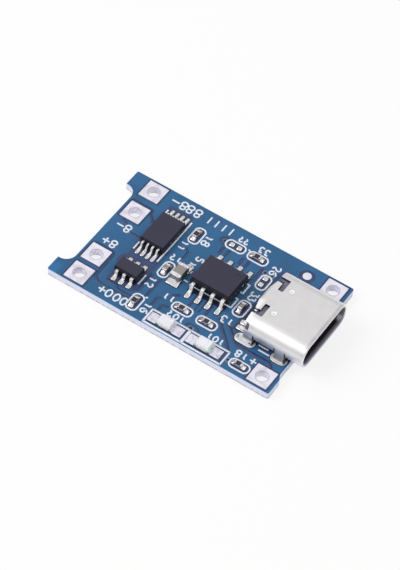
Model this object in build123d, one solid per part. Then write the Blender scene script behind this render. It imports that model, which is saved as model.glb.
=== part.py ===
"""Charger board for a single lithium cell, in millimetres.

Origin: centre of the board's underside. +X runs out of the socket's mouth, +Z is up.
"""

import os
from typing import NamedTuple

from build123d import *

# Board
BOARD_LENGTH = 28.0
BOARD_WIDTH = 17.0
BOARD_THICKNESS = 1.0
BOARD_CORNER_RADIUS = 0.2

# Routed recess across the wire end of the board, between two corner tabs
END_RECESS_DEPTH = 1.45
END_RECESS_RADIUS = 1.3
NEAR_TAB_WIDTH = 2.0
FAR_TAB_WIDTH = 2.2

# Shallow recess in the board's other end, under the socket's mouth
MOUTH_RECESS_DEPTH = 0.33
MOUTH_RECESS_SLOPE = 0.55
MOUTH_RECESS_RADIUS = 0.8
MOUTH_TAB_WIDTH = 2.2

# Square wire pads with plated holes
PAD_SIDE = 2.45
PAD_HOLE_DIAMETER = 1.5
PAD_PLATING = 0.05
PAD_PROUD = 0.04
PAD_EDGE_INSET = 1.5
OUTPUT_PAD_INSET = 3.12
INPUT_PAD_INSET = 1.72
NEGATIVE_PAD_SPACING = 3.6
POSITIVE_PAD_SPACING = 3.13

# Round bare pad beside the socket
TEST_PAD_DIAMETER = 1.0
TEST_PAD_X = 9.0
TEST_PAD_INSET = 1.5

# Tinned lands under the small parts
LAND_THICKNESS = 0.05
LAND_SIDE_MARGIN = 0.08
SOLDER_CLIMB = 0.7
SOLDER_SAG = 0.35

# Socket shell: a stamped tube with full-round sides
SHELL_LENGTH = 7.35
SHELL_WIDTH = 8.94
SHELL_HEIGHT = 3.16
SHELL_WALL = 0.3
SHELL_BACK_INSET = 6.05
SHELL_OFFSET_Y = 0.2
MOUTH_OUTER_CHAMFER = 0.08
MOUTH_INNER_CHAMFER = 0.1

# L-shaped cuts at the back of the shell's roof, either side of a flap bent down
ROOF_CUT_DEPTH = 1.2
ROOF_CUT_WIDTH = 0.6
ROOF_CUT_BACK_WIDTH = 0.74
ROOF_CUT_REACH = 1.0
ROOF_CUT_RADIUS = 0.12
FLAP_BACK_REACH = 0.45
FLAP_TIP_WIDTH = 1.0
FLAP_DROP = 0.9
FLAP_BEND_RADIUS = 0.2

# Pressed dimples in the roof
DIMPLE_DIAMETER = 0.7
DIMPLE_DEPTH = 0.1
DIMPLE_BACK_DISTANCE = 2.0
DIMPLE_SPREAD = 3.5

# Rounded notch in each side of the shell's back edge
SIDE_NOTCH_DEPTH = 0.58
SIDE_NOTCH_HEIGHT = 0.92
SIDE_NOTCH_ABOVE_MIDDLE = 0.2
SIDE_NOTCH_RADIUS = 0.28

# Four legs bent down from the shell's sides, and their slots in the board
LEG_WIDTH = 1.1
LEG_CLEAR_OF_UNDERSIDE = 0.06
LEG_TIP_CHAMFER = 0.2
LEG_SLIT = 0.18
LEG_WINDOW_REACH = 2.62
REAR_LEG_FROM_BACK = 0.63
FRONT_LEG_FROM_BACK = 4.55
REAR_SLOT_FROM_BACK = 0.35
REAR_SLOT_LENGTH = 1.8
FRONT_SLOT_LENGTH = 1.3
SLOT_WIDTH = 0.6
SLOT_LAND_MARGIN = 0.33
LEG_SOLDER_HEIGHT = 0.3
LEG_SOLDER_TAPER = 48

# Opening under the back of the shell, for the contact tails and the pegs
FLOOR_OPENING_MARGIN = 0.2
FLOOR_OPENING_SIDE_INSET = 0.72
FLOOR_OPENING_HEIGHT = 0.5

# Moulded insulator and its tongue
INSULATOR_CLEARANCE = 0.03
INSULATOR_BACK_INSET = 0.1
INSULATOR_LENGTH = 1.05
TONGUE_TIP_INSET = 1.3
TONGUE_SIDE_GAP = 0.825
TONGUE_THICKNESS = 0.7
TONGUE_TIP_CHAMFER = 0.15
TONGUE_ROOT_LENGTH = 1.2
TONGUE_ROOT_THICKNESS = 1.2
FOOT_CLEARANCE = 0.15
BACK_POCKET_DEPTH = 0.47
BACK_POCKET_HEIGHT = 0.8
BACK_POCKET_WIDTH = 0.65
BACK_POCKET_UNDER_FLAP = 0.2
PEG_DIAMETER = 0.5
PEG_HOLE_DIAMETER = 0.65
PEG_INSET = 0.71
PEG_FROM_BACK = 0.9
PEG_LENGTH = 0.75

# Socket contacts: each one's place on the tongue and in the row of tails, both
# counted in pitches from the middle
CONTACT_WIDTH = 0.22
CONTACT_THICKNESS = 0.15
CONTACT_PROUD = 0.02
CONTACT_TIP_INSET = 0.5
CONTACT_DROP_INSET = 0.3
CONTACT_TAIL_REACH = 1.1
CONTACT_EDGE_INSET = 0.595
TAIL_EDGE_INSET = 0.2
UPPER_CONTACT_ROUTES = ((0.5, 0.5), (1.5, 2.5), (2.5, 4.6), (5.5, 6.2))
LOWER_CONTACT_ROUTES = ((0.5, 1.5), (1.5, 3.5), (2.5, 5.2), (5.5, 6.8))
TAIL_LAND_LENGTH = 1.4
TAIL_LAND_BEYOND_TAIL = 0.4

# Plate between the two rows of contacts
MIDDLE_PLATE_THICKNESS = 0.15
MIDDLE_PLATE_TIP_COVER = 0.3


class LeadedChip(NamedTuple):
    """A moulded chip with two rows of bent leads, its rows running along X."""

    place: tuple
    length: float
    width: float
    height: float
    standoff: float
    draft: float
    leads_per_row: int
    pitch: float
    lead_width: float
    lead_thickness: float
    round_bends: bool
    span: float
    foot: float
    shoulder: float
    land_reach: float


CHARGER_CHIP = LeadedChip(
    place=(2.0, 0.42),
    length=4.9,
    width=3.9,
    height=1.45,
    standoff=0.12,
    draft=11,
    leads_per_row=4,
    pitch=1.27,
    lead_width=0.42,
    lead_thickness=0.2,
    round_bends=True,
    span=6.0,
    foot=0.45,
    shoulder=0.28,
    land_reach=0.55,
)
SWITCH_CHIP = LeadedChip(
    place=(-6.6, 2.45),
    length=3.0,
    width=4.4,
    height=0.95,
    standoff=0.1,
    draft=10,
    leads_per_row=4,
    pitch=0.65,
    lead_width=0.25,
    lead_thickness=0.13,
    round_bends=False,
    span=6.4,
    foot=0.5,
    shoulder=0.3,
    land_reach=0.5,
)
GUARD_CHIP = LeadedChip(
    place=(-6.57, -3.9),
    length=2.9,
    width=1.6,
    height=1.05,
    standoff=0.08,
    draft=8,
    leads_per_row=3,
    pitch=0.95,
    lead_width=0.38,
    lead_thickness=0.15,
    round_bends=False,
    span=2.8,
    foot=0.28,
    shoulder=0.2,
    land_reach=0.45,
)
INDEX_DIMPLE_DIAMETER = 0.55
INDEX_DIMPLE_DEPTH = 0.06
INDEX_DIMPLE_INSET = 0.8

# Heat pad set into the charger chip's underside
HEAT_PAD_LENGTH = 3.3
HEAT_PAD_WIDTH = 2.4
HEAT_PAD_THICKNESS = 0.25


class CappedChip(NamedTuple):
    """A small block with a metal cap on each end, lying along X."""

    length: float
    width: float
    height: float
    band: float
    plating: float
    edge_ease: float
    land_reach: float
    land_width: float


RESISTOR = CappedChip(
    length=1.0,
    width=0.5,
    height=0.35,
    band=0.22,
    plating=0.03,
    edge_ease=0.02,
    land_reach=0.4,
    land_width=0.62,
)
SMALL_CAPACITOR = CappedChip(
    length=1.0,
    width=0.5,
    height=0.5,
    band=0.24,
    plating=0.03,
    edge_ease=0.05,
    land_reach=0.36,
    land_width=0.62,
)
LARGE_CAPACITOR = CappedChip(
    length=2.0,
    width=1.25,
    height=0.95,
    band=0.45,
    plating=0.05,
    edge_ease=0.1,
    land_reach=0.68,
    land_width=1.5,
)
RESISTOR_COAT_THICKNESS = 0.02

# Each small part's place on the board, and 90 where it lies across the board
RESISTOR_PLACES = (
    (0.65, -4.63, 0),
    (3.75, -4.63, 0),
    (3.3, 5.9, 0),
    (9.5, -7.25, 0),
    (-3.7, 4.65, 90),
    (-3.95, -6.75, 90),
)
LARGE_CAPACITOR_PLACE = (-2.1, -0.97, 90)
SMALL_CAPACITOR_PLACES = ((-3.65, -1.2, 90), (5.7, -0.8, 90))

# Two empty places, each with a pair of bare tinned lands
EMPTY_PLACES = ((0.6, 5.88, 0), (5.6, 3.55, 90))
EMPTY_LAND_SIZE = 0.62
EMPTY_LAND_SPREAD = 0.95
SOLDER_MOUND_HEIGHT = 0.12
SOLDER_MOUND_TAPER = 50

# Indicator lamps
LAMP_LENGTH = 2.0
LAMP_WIDTH = 1.25
LAMP_BASE_THICKNESS = 0.3
LAMP_LENS_LENGTH = 1.7
LAMP_LENS_HEIGHT = 0.5
LAMP_LENS_DRAFT = 8
LAMP_CONTACT_DEPTH = 0.35
LAMP_NOTCH_RADIUS = 0.22
LAMP_LAND_REACH = 1.1
LAMP_SOLDER_CLIMB = 0.22
LAMP_EDGE_INSET = 1.2
FULL_LAMP_X = 0.48
CHARGING_LAMP_X = 5.3

# Values that follow from the sizes above
TOP = BOARD_THICKNESS
MOUTH_X = BOARD_LENGTH / 2 - SHELL_BACK_INSET + SHELL_LENGTH
SHELL_BACK = -SHELL_LENGTH
SHELL_MIDDLE = SHELL_HEIGHT / 2
LEG_MIDDLE_Y = (SHELL_WIDTH - SHELL_WALL) / 2
ROOF_FLAT_HALF = (SHELL_WIDTH - SHELL_HEIGHT) / 2
FLAP_HALF = ROOF_FLAT_HALF - ROOF_CUT_BACK_WIDTH
BLOCK_BACK = SHELL_BACK + INSULATOR_BACK_INSET
BLOCK_FRONT = BLOCK_BACK + INSULATOR_LENGTH
FLOOR_OPENING_HALF = SHELL_WIDTH / 2 - FLOOR_OPENING_SIDE_INSET
FOOT_HALF = FLOOR_OPENING_HALF - FOOT_CLEARANCE
TONGUE_HALF = SHELL_WIDTH / 2 - SHELL_WALL - TONGUE_SIDE_GAP
PEG_PLACE = (SHELL_BACK + PEG_FROM_BACK, FOOT_HALF - PEG_INSET)
CONTACT_PITCH = (TONGUE_HALF - CONTACT_EDGE_INSET) / LOWER_CONTACT_ROUTES[-1][0]
TAIL_PITCH = (FOOT_HALF - TAIL_EDGE_INSET) / LOWER_CONTACT_ROUTES[-1][1]
TAIL_END = BLOCK_BACK - CONTACT_TAIL_REACH
LEGS = (SHELL_BACK + REAR_LEG_FROM_BACK, SHELL_BACK + FRONT_LEG_FROM_BACK)
SLOTS = ((SHELL_BACK + REAR_SLOT_FROM_BACK, REAR_SLOT_LENGTH), (LEGS[1], FRONT_SLOT_LENGTH))
SIDES = (-1, 1)


def box_between(low, high):
    """A box from its lowest corner to its highest one."""
    size = [b - a for a, b in zip(low, high)]
    middle = [(a + b) / 2 for a, b in zip(low, high)]
    return Pos(*middle) * Box(*size)


def rounded_outline(corners):
    """A closed outline from each corner's two places and its radius."""
    points = [(u, v) for u, v, _ in corners]
    radii = [radius for _, _, radius in corners]
    return FilletPolyline(*points, radius=radii, close=True)


def section_prism(outline, width):
    """An outline in the XZ plane, given thickness along Y about the middle."""
    return extrude(Plane.XZ * make_face(outline), width / 2, both=True)


def on_board(shape, place, turn=0):
    """Set a part, made with its seat at zero, on the board's top."""
    return Pos(place[0], place[1], TOP) * Rot(0, 0, turn) * shape


def in_socket(shape):
    """Set a piece of the socket, made from its mouth backwards, on the board."""
    return Pos(MOUTH_X, SHELL_OFFSET_Y, TOP) * shape


def both_ends(piece):
    """A piece and its copy turned half round."""
    return [piece, Rot(0, 0, 180) * piece]


def joined(shapes):
    """Several shapes as one, fused where they meet."""
    first, *rest = shapes
    return Part() + first + rest


# Circuit board and its bare pads


def board_outline():
    """The board's edge, from its near wire corner round to its far one."""
    end = BOARD_LENGTH / 2
    side = BOARD_WIDTH / 2
    mouth_end = end - MOUTH_RECESS_DEPTH
    tab = side - MOUTH_TAB_WIDTH
    recess_end = -end + END_RECESS_DEPTH
    corners = (
        (-end, -side, BOARD_CORNER_RADIUS),
        (end, -side, BOARD_CORNER_RADIUS),
        (end, -tab, MOUTH_RECESS_RADIUS),
        (mouth_end, -tab + MOUTH_RECESS_SLOPE, MOUTH_RECESS_RADIUS),
        (mouth_end, tab - MOUTH_RECESS_SLOPE, MOUTH_RECESS_RADIUS),
        (end, tab, MOUTH_RECESS_RADIUS),
        (end, side, BOARD_CORNER_RADIUS),
        (-end, side, BOARD_CORNER_RADIUS),
        (-end, side - FAR_TAB_WIDTH, 0),
        (recess_end, side - FAR_TAB_WIDTH, END_RECESS_RADIUS),
        (recess_end, -side + NEAR_TAB_WIDTH, END_RECESS_RADIUS),
        (-end, -side + NEAR_TAB_WIDTH, 0),
    )
    return rounded_outline(corners)


def wire_pad_places():
    """Each wire pad's name and centre."""
    output_x = -BOARD_LENGTH / 2 + OUTPUT_PAD_INSET
    input_x = BOARD_LENGTH / 2 - INPUT_PAD_INSET
    edge_y = BOARD_WIDTH / 2 - PAD_EDGE_INSET
    return {
        "output_negative_pad": (output_x, edge_y),
        "cell_negative_pad": (output_x, edge_y - NEGATIVE_PAD_SPACING),
        "cell_positive_pad": (output_x, -edge_y + POSITIVE_PAD_SPACING),
        "output_positive_pad": (output_x, -edge_y),
        "input_positive_pad": (input_x, -edge_y),
        "input_negative_pad": (input_x, edge_y),
    }


def wire_pad():
    """A tinned square on each face of the board, joined by a plated hole."""
    top_land = extrude(Pos(0, 0, TOP) * Rectangle(PAD_SIDE, PAD_SIDE), PAD_PROUD)
    under_land = extrude(Rectangle(PAD_SIDE, PAD_SIDE), PAD_PROUD)
    barrel = extrude(Circle(PAD_HOLE_DIAMETER / 2 + PAD_PLATING), TOP)
    hole = extrude(Circle(PAD_HOLE_DIAMETER / 2), TOP + PAD_PROUD)
    return top_land + under_land + barrel - hole


def wire_pad_cut():
    """What one wire pad takes out of the board."""
    bore = extrude(Circle(PAD_HOLE_DIAMETER / 2 + PAD_PLATING), TOP)
    return bore + extrude(Rectangle(PAD_SIDE, PAD_SIDE), PAD_PROUD)


def circuit_board():
    board = extrude(make_face(board_outline()), TOP)
    for x, y in wire_pad_places().values():
        board -= Pos(x, y) * wire_pad_cut()
    for side in SIDES:
        for x, length in SLOTS:
            slot = extrude(SlotOverall(length, SLOT_WIDTH), -TOP)
            board -= in_socket(Pos(x, side * LEG_MIDDLE_Y) * slot)
        peg_hole = extrude(Circle(PEG_HOLE_DIAMETER / 2), -TOP)
        board -= in_socket(Pos(PEG_PLACE[0], side * PEG_PLACE[1]) * peg_hole)
    return board


def test_pad():
    place = (TEST_PAD_X, BOARD_WIDTH / 2 - TEST_PAD_INSET)
    return on_board(extrude(Circle(TEST_PAD_DIAMETER / 2), PAD_PROUD), place)


# Socket, made from its mouth backwards with its seat at zero


def shell_section(inset):
    """The shell's full-round section, drawn in by an inset all round."""
    section = SlotOverall(SHELL_WIDTH - 2 * inset, SHELL_HEIGHT - 2 * inset)
    return Plane.YZ * Pos(0, SHELL_MIDDLE) * section


def shell_tube():
    """The plain tube, its mouth eased outside and inside."""
    tube = extrude(shell_section(0), -SHELL_LENGTH)
    tube = chamfer(tube.faces().sort_by(Axis.X)[-1].edges(), MOUTH_OUTER_CHAMFER)
    bore = extrude(shell_section(SHELL_WALL), -SHELL_LENGTH)
    tube -= bore
    mouth = tube.faces().sort_by(Axis.X)[-1].inner_wires()[0]
    return chamfer(mouth.edges(), MOUTH_INNER_CHAMFER)


def roof_cuts():
    """The two L-shaped cuts at the back of the roof."""
    front = SHELL_BACK + ROOF_CUT_DEPTH
    inner = front - ROOF_CUT_WIDTH
    neck_half = FLAP_HALF - ROOF_CUT_REACH
    cuts = []
    for side in SIDES:
        corners = (
            (SHELL_BACK, side * ROOF_FLAT_HALF, 0),
            (front, side * ROOF_FLAT_HALF, ROOF_CUT_RADIUS),
            (front, side * neck_half, ROOF_CUT_RADIUS),
            (inner, side * neck_half, ROOF_CUT_RADIUS),
            (inner, side * FLAP_HALF, ROOF_CUT_RADIUS),
            (SHELL_BACK, side * FLAP_HALF, 0),
        )
        outline = make_face(rounded_outline(corners))
        cuts.append(extrude(Pos(0, 0, SHELL_HEIGHT) * outline, -SHELL_MIDDLE))
    return joined(cuts)


def back_flap():
    """The roof's back edge between the cuts, narrowing and bent down."""
    roof = SHELL_HEIGHT - SHELL_WALL / 2
    root = SHELL_BACK + ROOF_CUT_DEPTH - ROOF_CUT_WIDTH
    back = SHELL_BACK - FLAP_BACK_REACH
    line = FilletPolyline(
        (root, roof),
        (back + SHELL_WALL / 2, roof),
        (back + SHELL_WALL / 2, roof - FLAP_DROP),
        radius=FLAP_BEND_RADIUS + SHELL_WALL / 2,
    )
    strip = extrude(Plane.XZ * trace(line, SHELL_WALL), FLAP_HALF, both=True)
    blank = Polyline(
        (root, FLAP_HALF),
        (SHELL_BACK, FLAP_HALF),
        (back, FLAP_TIP_WIDTH / 2),
        (back, -FLAP_TIP_WIDTH / 2),
        (SHELL_BACK, -FLAP_HALF),
        (root, -FLAP_HALF),
        close=True,
    )
    return strip & extrude(make_face(blank), SHELL_HEIGHT)


def dimple_dip(top):
    """The shallow cone that a dimple takes below a level."""
    return Pos(0, 0, top - DIMPLE_DEPTH / 2) * Cone(0, DIMPLE_DIAMETER / 2, DIMPLE_DEPTH)


def dimple_places():
    x = SHELL_BACK + DIMPLE_BACK_DISTANCE
    return [Pos(x, side * DIMPLE_SPREAD / 2) for side in SIDES]


def shell_leg():
    """One leg, hanging from the shell's widest line down through the board."""
    tip = -BOARD_THICKNESS + LEG_CLEAR_OF_UNDERSIDE
    half = LEG_WIDTH / 2
    outline = Polyline(
        (-half, SHELL_MIDDLE),
        (half, SHELL_MIDDLE),
        (half, tip + LEG_TIP_CHAMFER),
        (half - LEG_TIP_CHAMFER, tip),
        (-half + LEG_TIP_CHAMFER, tip),
        (-half, tip + LEG_TIP_CHAMFER),
        close=True,
    )
    return section_prism(outline, SHELL_WALL)


def leg_window():
    """The gap that one leg leaves in the round of the wall, with its slits."""
    half = LEG_WIDTH / 2 + LEG_SLIT
    root = SHELL_WIDTH / 2 - LEG_WINDOW_REACH
    return box_between((-half, root, 0), (half, SHELL_WIDTH / 2, SHELL_MIDDLE))


def side_notch():
    """The rounded notch in the back edge, cut through both sides."""
    low = SHELL_MIDDLE + SIDE_NOTCH_ABOVE_MIDDLE
    notch = box_between(
        (SHELL_BACK, -SHELL_WIDTH / 2, low),
        (SHELL_BACK + SIDE_NOTCH_DEPTH, SHELL_WIDTH / 2, low + SIDE_NOTCH_HEIGHT),
    )
    front_edges = notch.edges().filter_by(Axis.Y).group_by(Axis.X)[-1]
    notch = fillet(front_edges, SIDE_NOTCH_RADIUS)
    keep = box_between((SHELL_BACK, -FLAP_HALF, 0), (0, FLAP_HALF, SHELL_HEIGHT))
    return notch - keep


def usb_shell():
    shell = shell_tube() - roof_cuts() - side_notch()
    shell -= box_between(
        (SHELL_BACK, -FLOOR_OPENING_HALF, 0),
        (BLOCK_FRONT + FLOOR_OPENING_MARGIN, FLOOR_OPENING_HALF, FLOOR_OPENING_HEIGHT),
    )
    shell += back_flap()
    for place in dimple_places():
        shell += place * dimple_dip(SHELL_HEIGHT - SHELL_WALL)
        shell -= place * dimple_dip(SHELL_HEIGHT)
    for x in LEGS:
        for turn in (0, 180):
            outward = Pos(x, 0, 0) * Rot(0, 0, turn)
            shell -= outward * leg_window()
            shell += outward * Pos(0, LEG_MIDDLE_Y, 0) * shell_leg()
    return in_socket(shell)


def tongue():
    """The flat tongue between the contacts, thicker at its root."""
    blade = box_between(
        (BLOCK_FRONT, -TONGUE_HALF, SHELL_MIDDLE - TONGUE_THICKNESS / 2),
        (-TONGUE_TIP_INSET, TONGUE_HALF, SHELL_MIDDLE + TONGUE_THICKNESS / 2),
    )
    blade = chamfer(blade.faces().sort_by(Axis.X)[-1].edges(), TONGUE_TIP_CHAMFER)
    root_front = BLOCK_FRONT + TONGUE_ROOT_LENGTH
    root = box_between(
        (BLOCK_FRONT, -TONGUE_HALF, SHELL_MIDDLE - TONGUE_ROOT_THICKNESS / 2),
        (root_front, TONGUE_HALF, SHELL_MIDDLE + TONGUE_ROOT_THICKNESS / 2),
    )
    return blade + root


def insulator_pegs():
    peg = extrude(Circle(PEG_DIAMETER / 2), PEG_LENGTH + INSULATOR_CLEARANCE)
    x, y = PEG_PLACE
    return [Pos(x, side * y, -PEG_LENGTH) * peg for side in SIDES]


def usb_insulator():
    section = shell_section(SHELL_WALL + INSULATOR_CLEARANCE)
    depth = BLOCK_FRONT - BLOCK_BACK
    block = extrude(Pos(BLOCK_BACK, 0, 0) * section, depth)
    foot = box_between(
        (BLOCK_BACK, -FOOT_HALF, INSULATOR_CLEARANCE),
        (BLOCK_FRONT, FOOT_HALF, SHELL_MIDDLE),
    )
    insulator = joined([block, foot, tongue(), *insulator_pegs()])
    near = FLAP_HALF - BACK_POCKET_UNDER_FLAP
    for side in SIDES:
        low, high = sorted((side * near, side * (near + BACK_POCKET_WIDTH)))
        insulator -= box_between(
            (BLOCK_BACK, low, SHELL_HEIGHT - BACK_POCKET_HEIGHT),
            (BLOCK_BACK + BACK_POCKET_DEPTH, high, SHELL_HEIGHT),
        )
    cut_by = [*contact_row(UPPER_CONTACT_ROUTES, 1), *contact_row(LOWER_CONTACT_ROUTES, -1)]
    for piece in [*cut_by, middle_plate(), back_flap()]:
        insulator -= piece
    return in_socket(insulator)


def contact(tongue_y, tail_y, side_up):
    """One contact: along the tongue, sideways inside the block, then down and out."""
    level = SHELL_MIDDLE + side_up * (
        TONGUE_THICKNESS / 2 + CONTACT_PROUD - CONTACT_THICKNESS / 2
    )
    drop_x = BLOCK_BACK + CONTACT_DROP_INSET
    jog_length = (BLOCK_FRONT - drop_x) / 2
    course = (
        (-TONGUE_TIP_INSET - CONTACT_TIP_INSET, tongue_y),
        (BLOCK_FRONT, tongue_y),
        (BLOCK_FRONT - jog_length, tail_y),
        (drop_x, tail_y),
    )
    half = CONTACT_WIDTH / 2
    left = [(x, y + half) for x, y in course]
    right = [(x, y - half) for x, y in reversed(course)]
    flat = Pos(0, 0, level) * make_face(Polyline(*left, *right, close=True))
    run = extrude(flat, CONTACT_THICKNESS / 2, both=True)
    drop = box_between(
        (drop_x - CONTACT_THICKNESS, tail_y - half, LAND_THICKNESS),
        (drop_x, tail_y + half, level + CONTACT_THICKNESS / 2),
    )
    tail = box_between(
        (TAIL_END, tail_y - half, LAND_THICKNESS),
        (drop_x, tail_y + half, LAND_THICKNESS + CONTACT_THICKNESS),
    )
    return run + drop + tail


def contact_row(routes, side_up):
    """Every contact of one row, on both sides of the middle."""
    return [
        contact(side * tongue_count * CONTACT_PITCH, side * tail_count * TAIL_PITCH, side_up)
        for side in SIDES
        for tongue_count, tail_count in routes
    ]


def middle_plate():
    half = MIDDLE_PLATE_THICKNESS / 2
    return box_between(
        (BLOCK_FRONT, -TONGUE_HALF, SHELL_MIDDLE - half),
        (-TONGUE_TIP_INSET - MIDDLE_PLATE_TIP_COVER, TONGUE_HALF, SHELL_MIDDLE + half),
    )


def tail_land_spans():
    """The tail lands' edges across the socket: tails side by side share one."""
    half = CONTACT_WIDTH / 2 + LAND_SIDE_MARGIN
    counts = sorted(count for _, count in UPPER_CONTACT_ROUTES + LOWER_CONTACT_ROUTES)
    spans = []
    for y in [count * TAIL_PITCH for count in counts]:
        if spans and y - half < spans[-1][1]:
            spans[-1][1] = y + half
        else:
            spans.append([y - half, y + half])
    return spans


def usb_tail_solder():
    """Lands under the contact tails, with solder against each row of toes."""
    solders = []
    for low, high in tail_land_spans():
        joint = solder_joint(
            inner=TAIL_LAND_LENGTH - TAIL_LAND_BEYOND_TAIL,
            reach=TAIL_LAND_BEYOND_TAIL,
            width=high - low,
            climb=SOLDER_CLIMB * CONTACT_THICKNESS,
        )
        for side in SIDES:
            middle = side * (low + high) / 2
            solders.append(in_socket(Pos(TAIL_END, middle, 0) * Rot(0, 0, 180) * joint))
    return solders


def usb_leg_solder():
    """Each slot's filling and the mound round the leg."""
    shell = usb_shell()
    envelope = in_socket(extrude(shell_section(0), -SHELL_LENGTH))
    solders = []
    for x, length in SLOTS:
        growth = 2 * SLOT_LAND_MARGIN
        land = SlotOverall(length + growth, SLOT_WIDTH + growth)
        filling = extrude(SlotOverall(length, SLOT_WIDTH), -TOP)
        mound = extrude(land, LEG_SOLDER_HEIGHT, taper=LEG_SOLDER_TAPER)
        blank = joined([filling, mound])
        for side in SIDES:
            placed = in_socket(Pos(x, side * LEG_MIDDLE_Y, 0) * blank)
            solders.append(placed - envelope - shell)
    return solders


# Solder joints shared by all the small parts


def solder_joint(inner, reach, width, climb, land_width=None):
    """A land with solder rising to a toe at zero, the land running out along +X."""
    land = box_between(
        (-inner, -(land_width or width) / 2, 0),
        (reach, (land_width or width) / 2, LAND_THICKNESS),
    )
    edge = reach - LAND_SIDE_MARGIN
    outline = Polyline(
        (0, LAND_THICKNESS),
        (edge, LAND_THICKNESS),
        (edge * SOLDER_SAG, LAND_THICKNESS + climb * SOLDER_SAG),
        (0, LAND_THICKNESS + climb),
        close=True,
    )
    return joined([land, section_prism(outline, width)])


# Leaded chips, made with their rows of leads along X


def lead_rows(chip):
    """The places of one row of leads."""
    middle = (chip.leads_per_row - 1) / 2
    return [(index - middle) * chip.pitch for index in range(chip.leads_per_row)]


def chip_body(chip):
    """The moulded body: two tapered halves either side of the leads' level."""
    parting = LAND_THICKNESS + chip.standoff + chip.height / 2
    band = chip.lead_thickness
    half_height = (chip.height - band) / 2
    outline = Rectangle(chip.length, chip.width)
    middle = extrude(Pos(0, 0, parting) * outline, band / 2, both=True)
    upper = extrude(Pos(0, 0, parting + band / 2) * outline, half_height, taper=chip.draft)
    below = Plane(origin=(0, 0, parting - band / 2), z_dir=(0, 0, -1))
    lower = extrude(below * outline, half_height, taper=chip.draft)
    return middle + upper + lower


def index_dimple(chip):
    """The shallow round that marks the first lead."""
    top = LAND_THICKNESS + chip.standoff + chip.height
    x = chip.length / 2 - INDEX_DIMPLE_INSET
    y = chip.width / 2 - INDEX_DIMPLE_INSET
    round_cut = extrude(Circle(INDEX_DIMPLE_DIAMETER / 2), INDEX_DIMPLE_DEPTH)
    return Pos(x, y, top - INDEX_DIMPLE_DEPTH) * round_cut


def chip_lead(chip):
    """One bent lead, running out along +X from the body's side."""
    sheet = chip.lead_thickness
    side = chip.width / 2
    knee = side + chip.shoulder
    toe = chip.span / 2
    ankle = toe - chip.foot
    root = LAND_THICKNESS + chip.standoff + (chip.height - sheet) / 2
    rounding = sheet if chip.round_bends else 0
    corners = (
        (side, root + sheet, 0),
        (knee + sheet / 2, root + sheet, rounding),
        (ankle + sheet / 2, LAND_THICKNESS + sheet, 0),
        (toe, LAND_THICKNESS + sheet, 0),
        (toe, LAND_THICKNESS, 0),
        (ankle - sheet / 2, LAND_THICKNESS, rounding),
        (knee - sheet / 2, root, 0),
        (side, root, 0),
    )
    return section_prism(rounded_outline(corners), chip.lead_width)


def chip_leads(chip):
    lead = Rot(0, 0, 90) * chip_lead(chip)
    row = [Pos(x, 0, 0) * lead for x in lead_rows(chip)]
    return [on_board(piece, chip.place) for one in row for piece in both_ends(one)]


def chip_solder(chip):
    joint = solder_joint(
        inner=1.6 * chip.foot,
        reach=chip.land_reach,
        width=chip.lead_width,
        climb=SOLDER_CLIMB * chip.lead_thickness,
        land_width=chip.lead_width + 2 * LAND_SIDE_MARGIN,
    )
    turned = Rot(0, 0, 90) * Pos(chip.span / 2, 0, 0) * joint
    row = [Pos(x, 0, 0) * turned for x in lead_rows(chip)]
    return [on_board(piece, chip.place) for one in row for piece in both_ends(one)]


def heat_pad(chip):
    bottom = LAND_THICKNESS + chip.standoff
    outline = Pos(0, 0, bottom) * Rectangle(HEAT_PAD_LENGTH, HEAT_PAD_WIDTH)
    return extrude(outline, HEAT_PAD_THICKNESS)


def heat_pad_solder(chip):
    outline = Rectangle(HEAT_PAD_LENGTH, HEAT_PAD_WIDTH)
    return extrude(outline, LAND_THICKNESS + chip.standoff)


# Capped chips, made lying along X


def cap_pair(chip, wraps_sides):
    """Both end caps: five-sided cups, or straps open at the sides."""
    high = chip.height + LAND_THICKNESS
    cup = box_between(
        (chip.length / 2 - chip.band, -chip.width / 2, LAND_THICKNESS),
        (chip.length / 2, chip.width / 2, high),
    )
    outer_face = cup.faces().sort_by(Axis.X)[-1]
    cup = chamfer(outer_face.edges(), chip.edge_ease)
    side = chip.width / 2 - (chip.plating if wraps_sides else 0)
    inside = box_between(
        (0, -side, LAND_THICKNESS + chip.plating),
        (chip.length / 2 - chip.plating, side, high - chip.plating),
    )
    return both_ends(cup - inside)


def capacitor_body(chip):
    """The ceramic block, filling its caps."""
    inset = chip.plating
    return box_between(
        (-chip.length / 2 + inset, -chip.width / 2 + inset, LAND_THICKNESS + inset),
        (chip.length / 2 - inset, chip.width / 2 - inset, LAND_THICKNESS + chip.height - inset),
    )


def resistor_body(chip):
    """The flat ceramic block, with its dark coat between the caps."""
    inset = chip.plating
    top = LAND_THICKNESS + chip.height - inset
    block = box_between(
        (-chip.length / 2 + inset, -chip.width / 2, LAND_THICKNESS + inset),
        (chip.length / 2 - inset, chip.width / 2, top),
    )
    coat_half = chip.length / 2 - chip.band
    coat = box_between(
        (-coat_half, -chip.width / 2, top),
        (coat_half, chip.width / 2, top + inset + RESISTOR_COAT_THICKNESS),
    )
    return block + coat


def capped_solder(chip):
    """Both solder joints of a capped chip."""
    joint = solder_joint(
        inner=chip.band,
        reach=chip.land_reach,
        width=chip.width,
        climb=SOLDER_CLIMB * chip.height,
        land_width=chip.land_width,
    )
    return both_ends(Pos(chip.length / 2, 0, 0) * joint)


def placed(shape, place):
    return on_board(shape, place[:2], place[2])


def placed_all(shapes, places):
    return [placed(shape, place) for place in places for shape in shapes]


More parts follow.
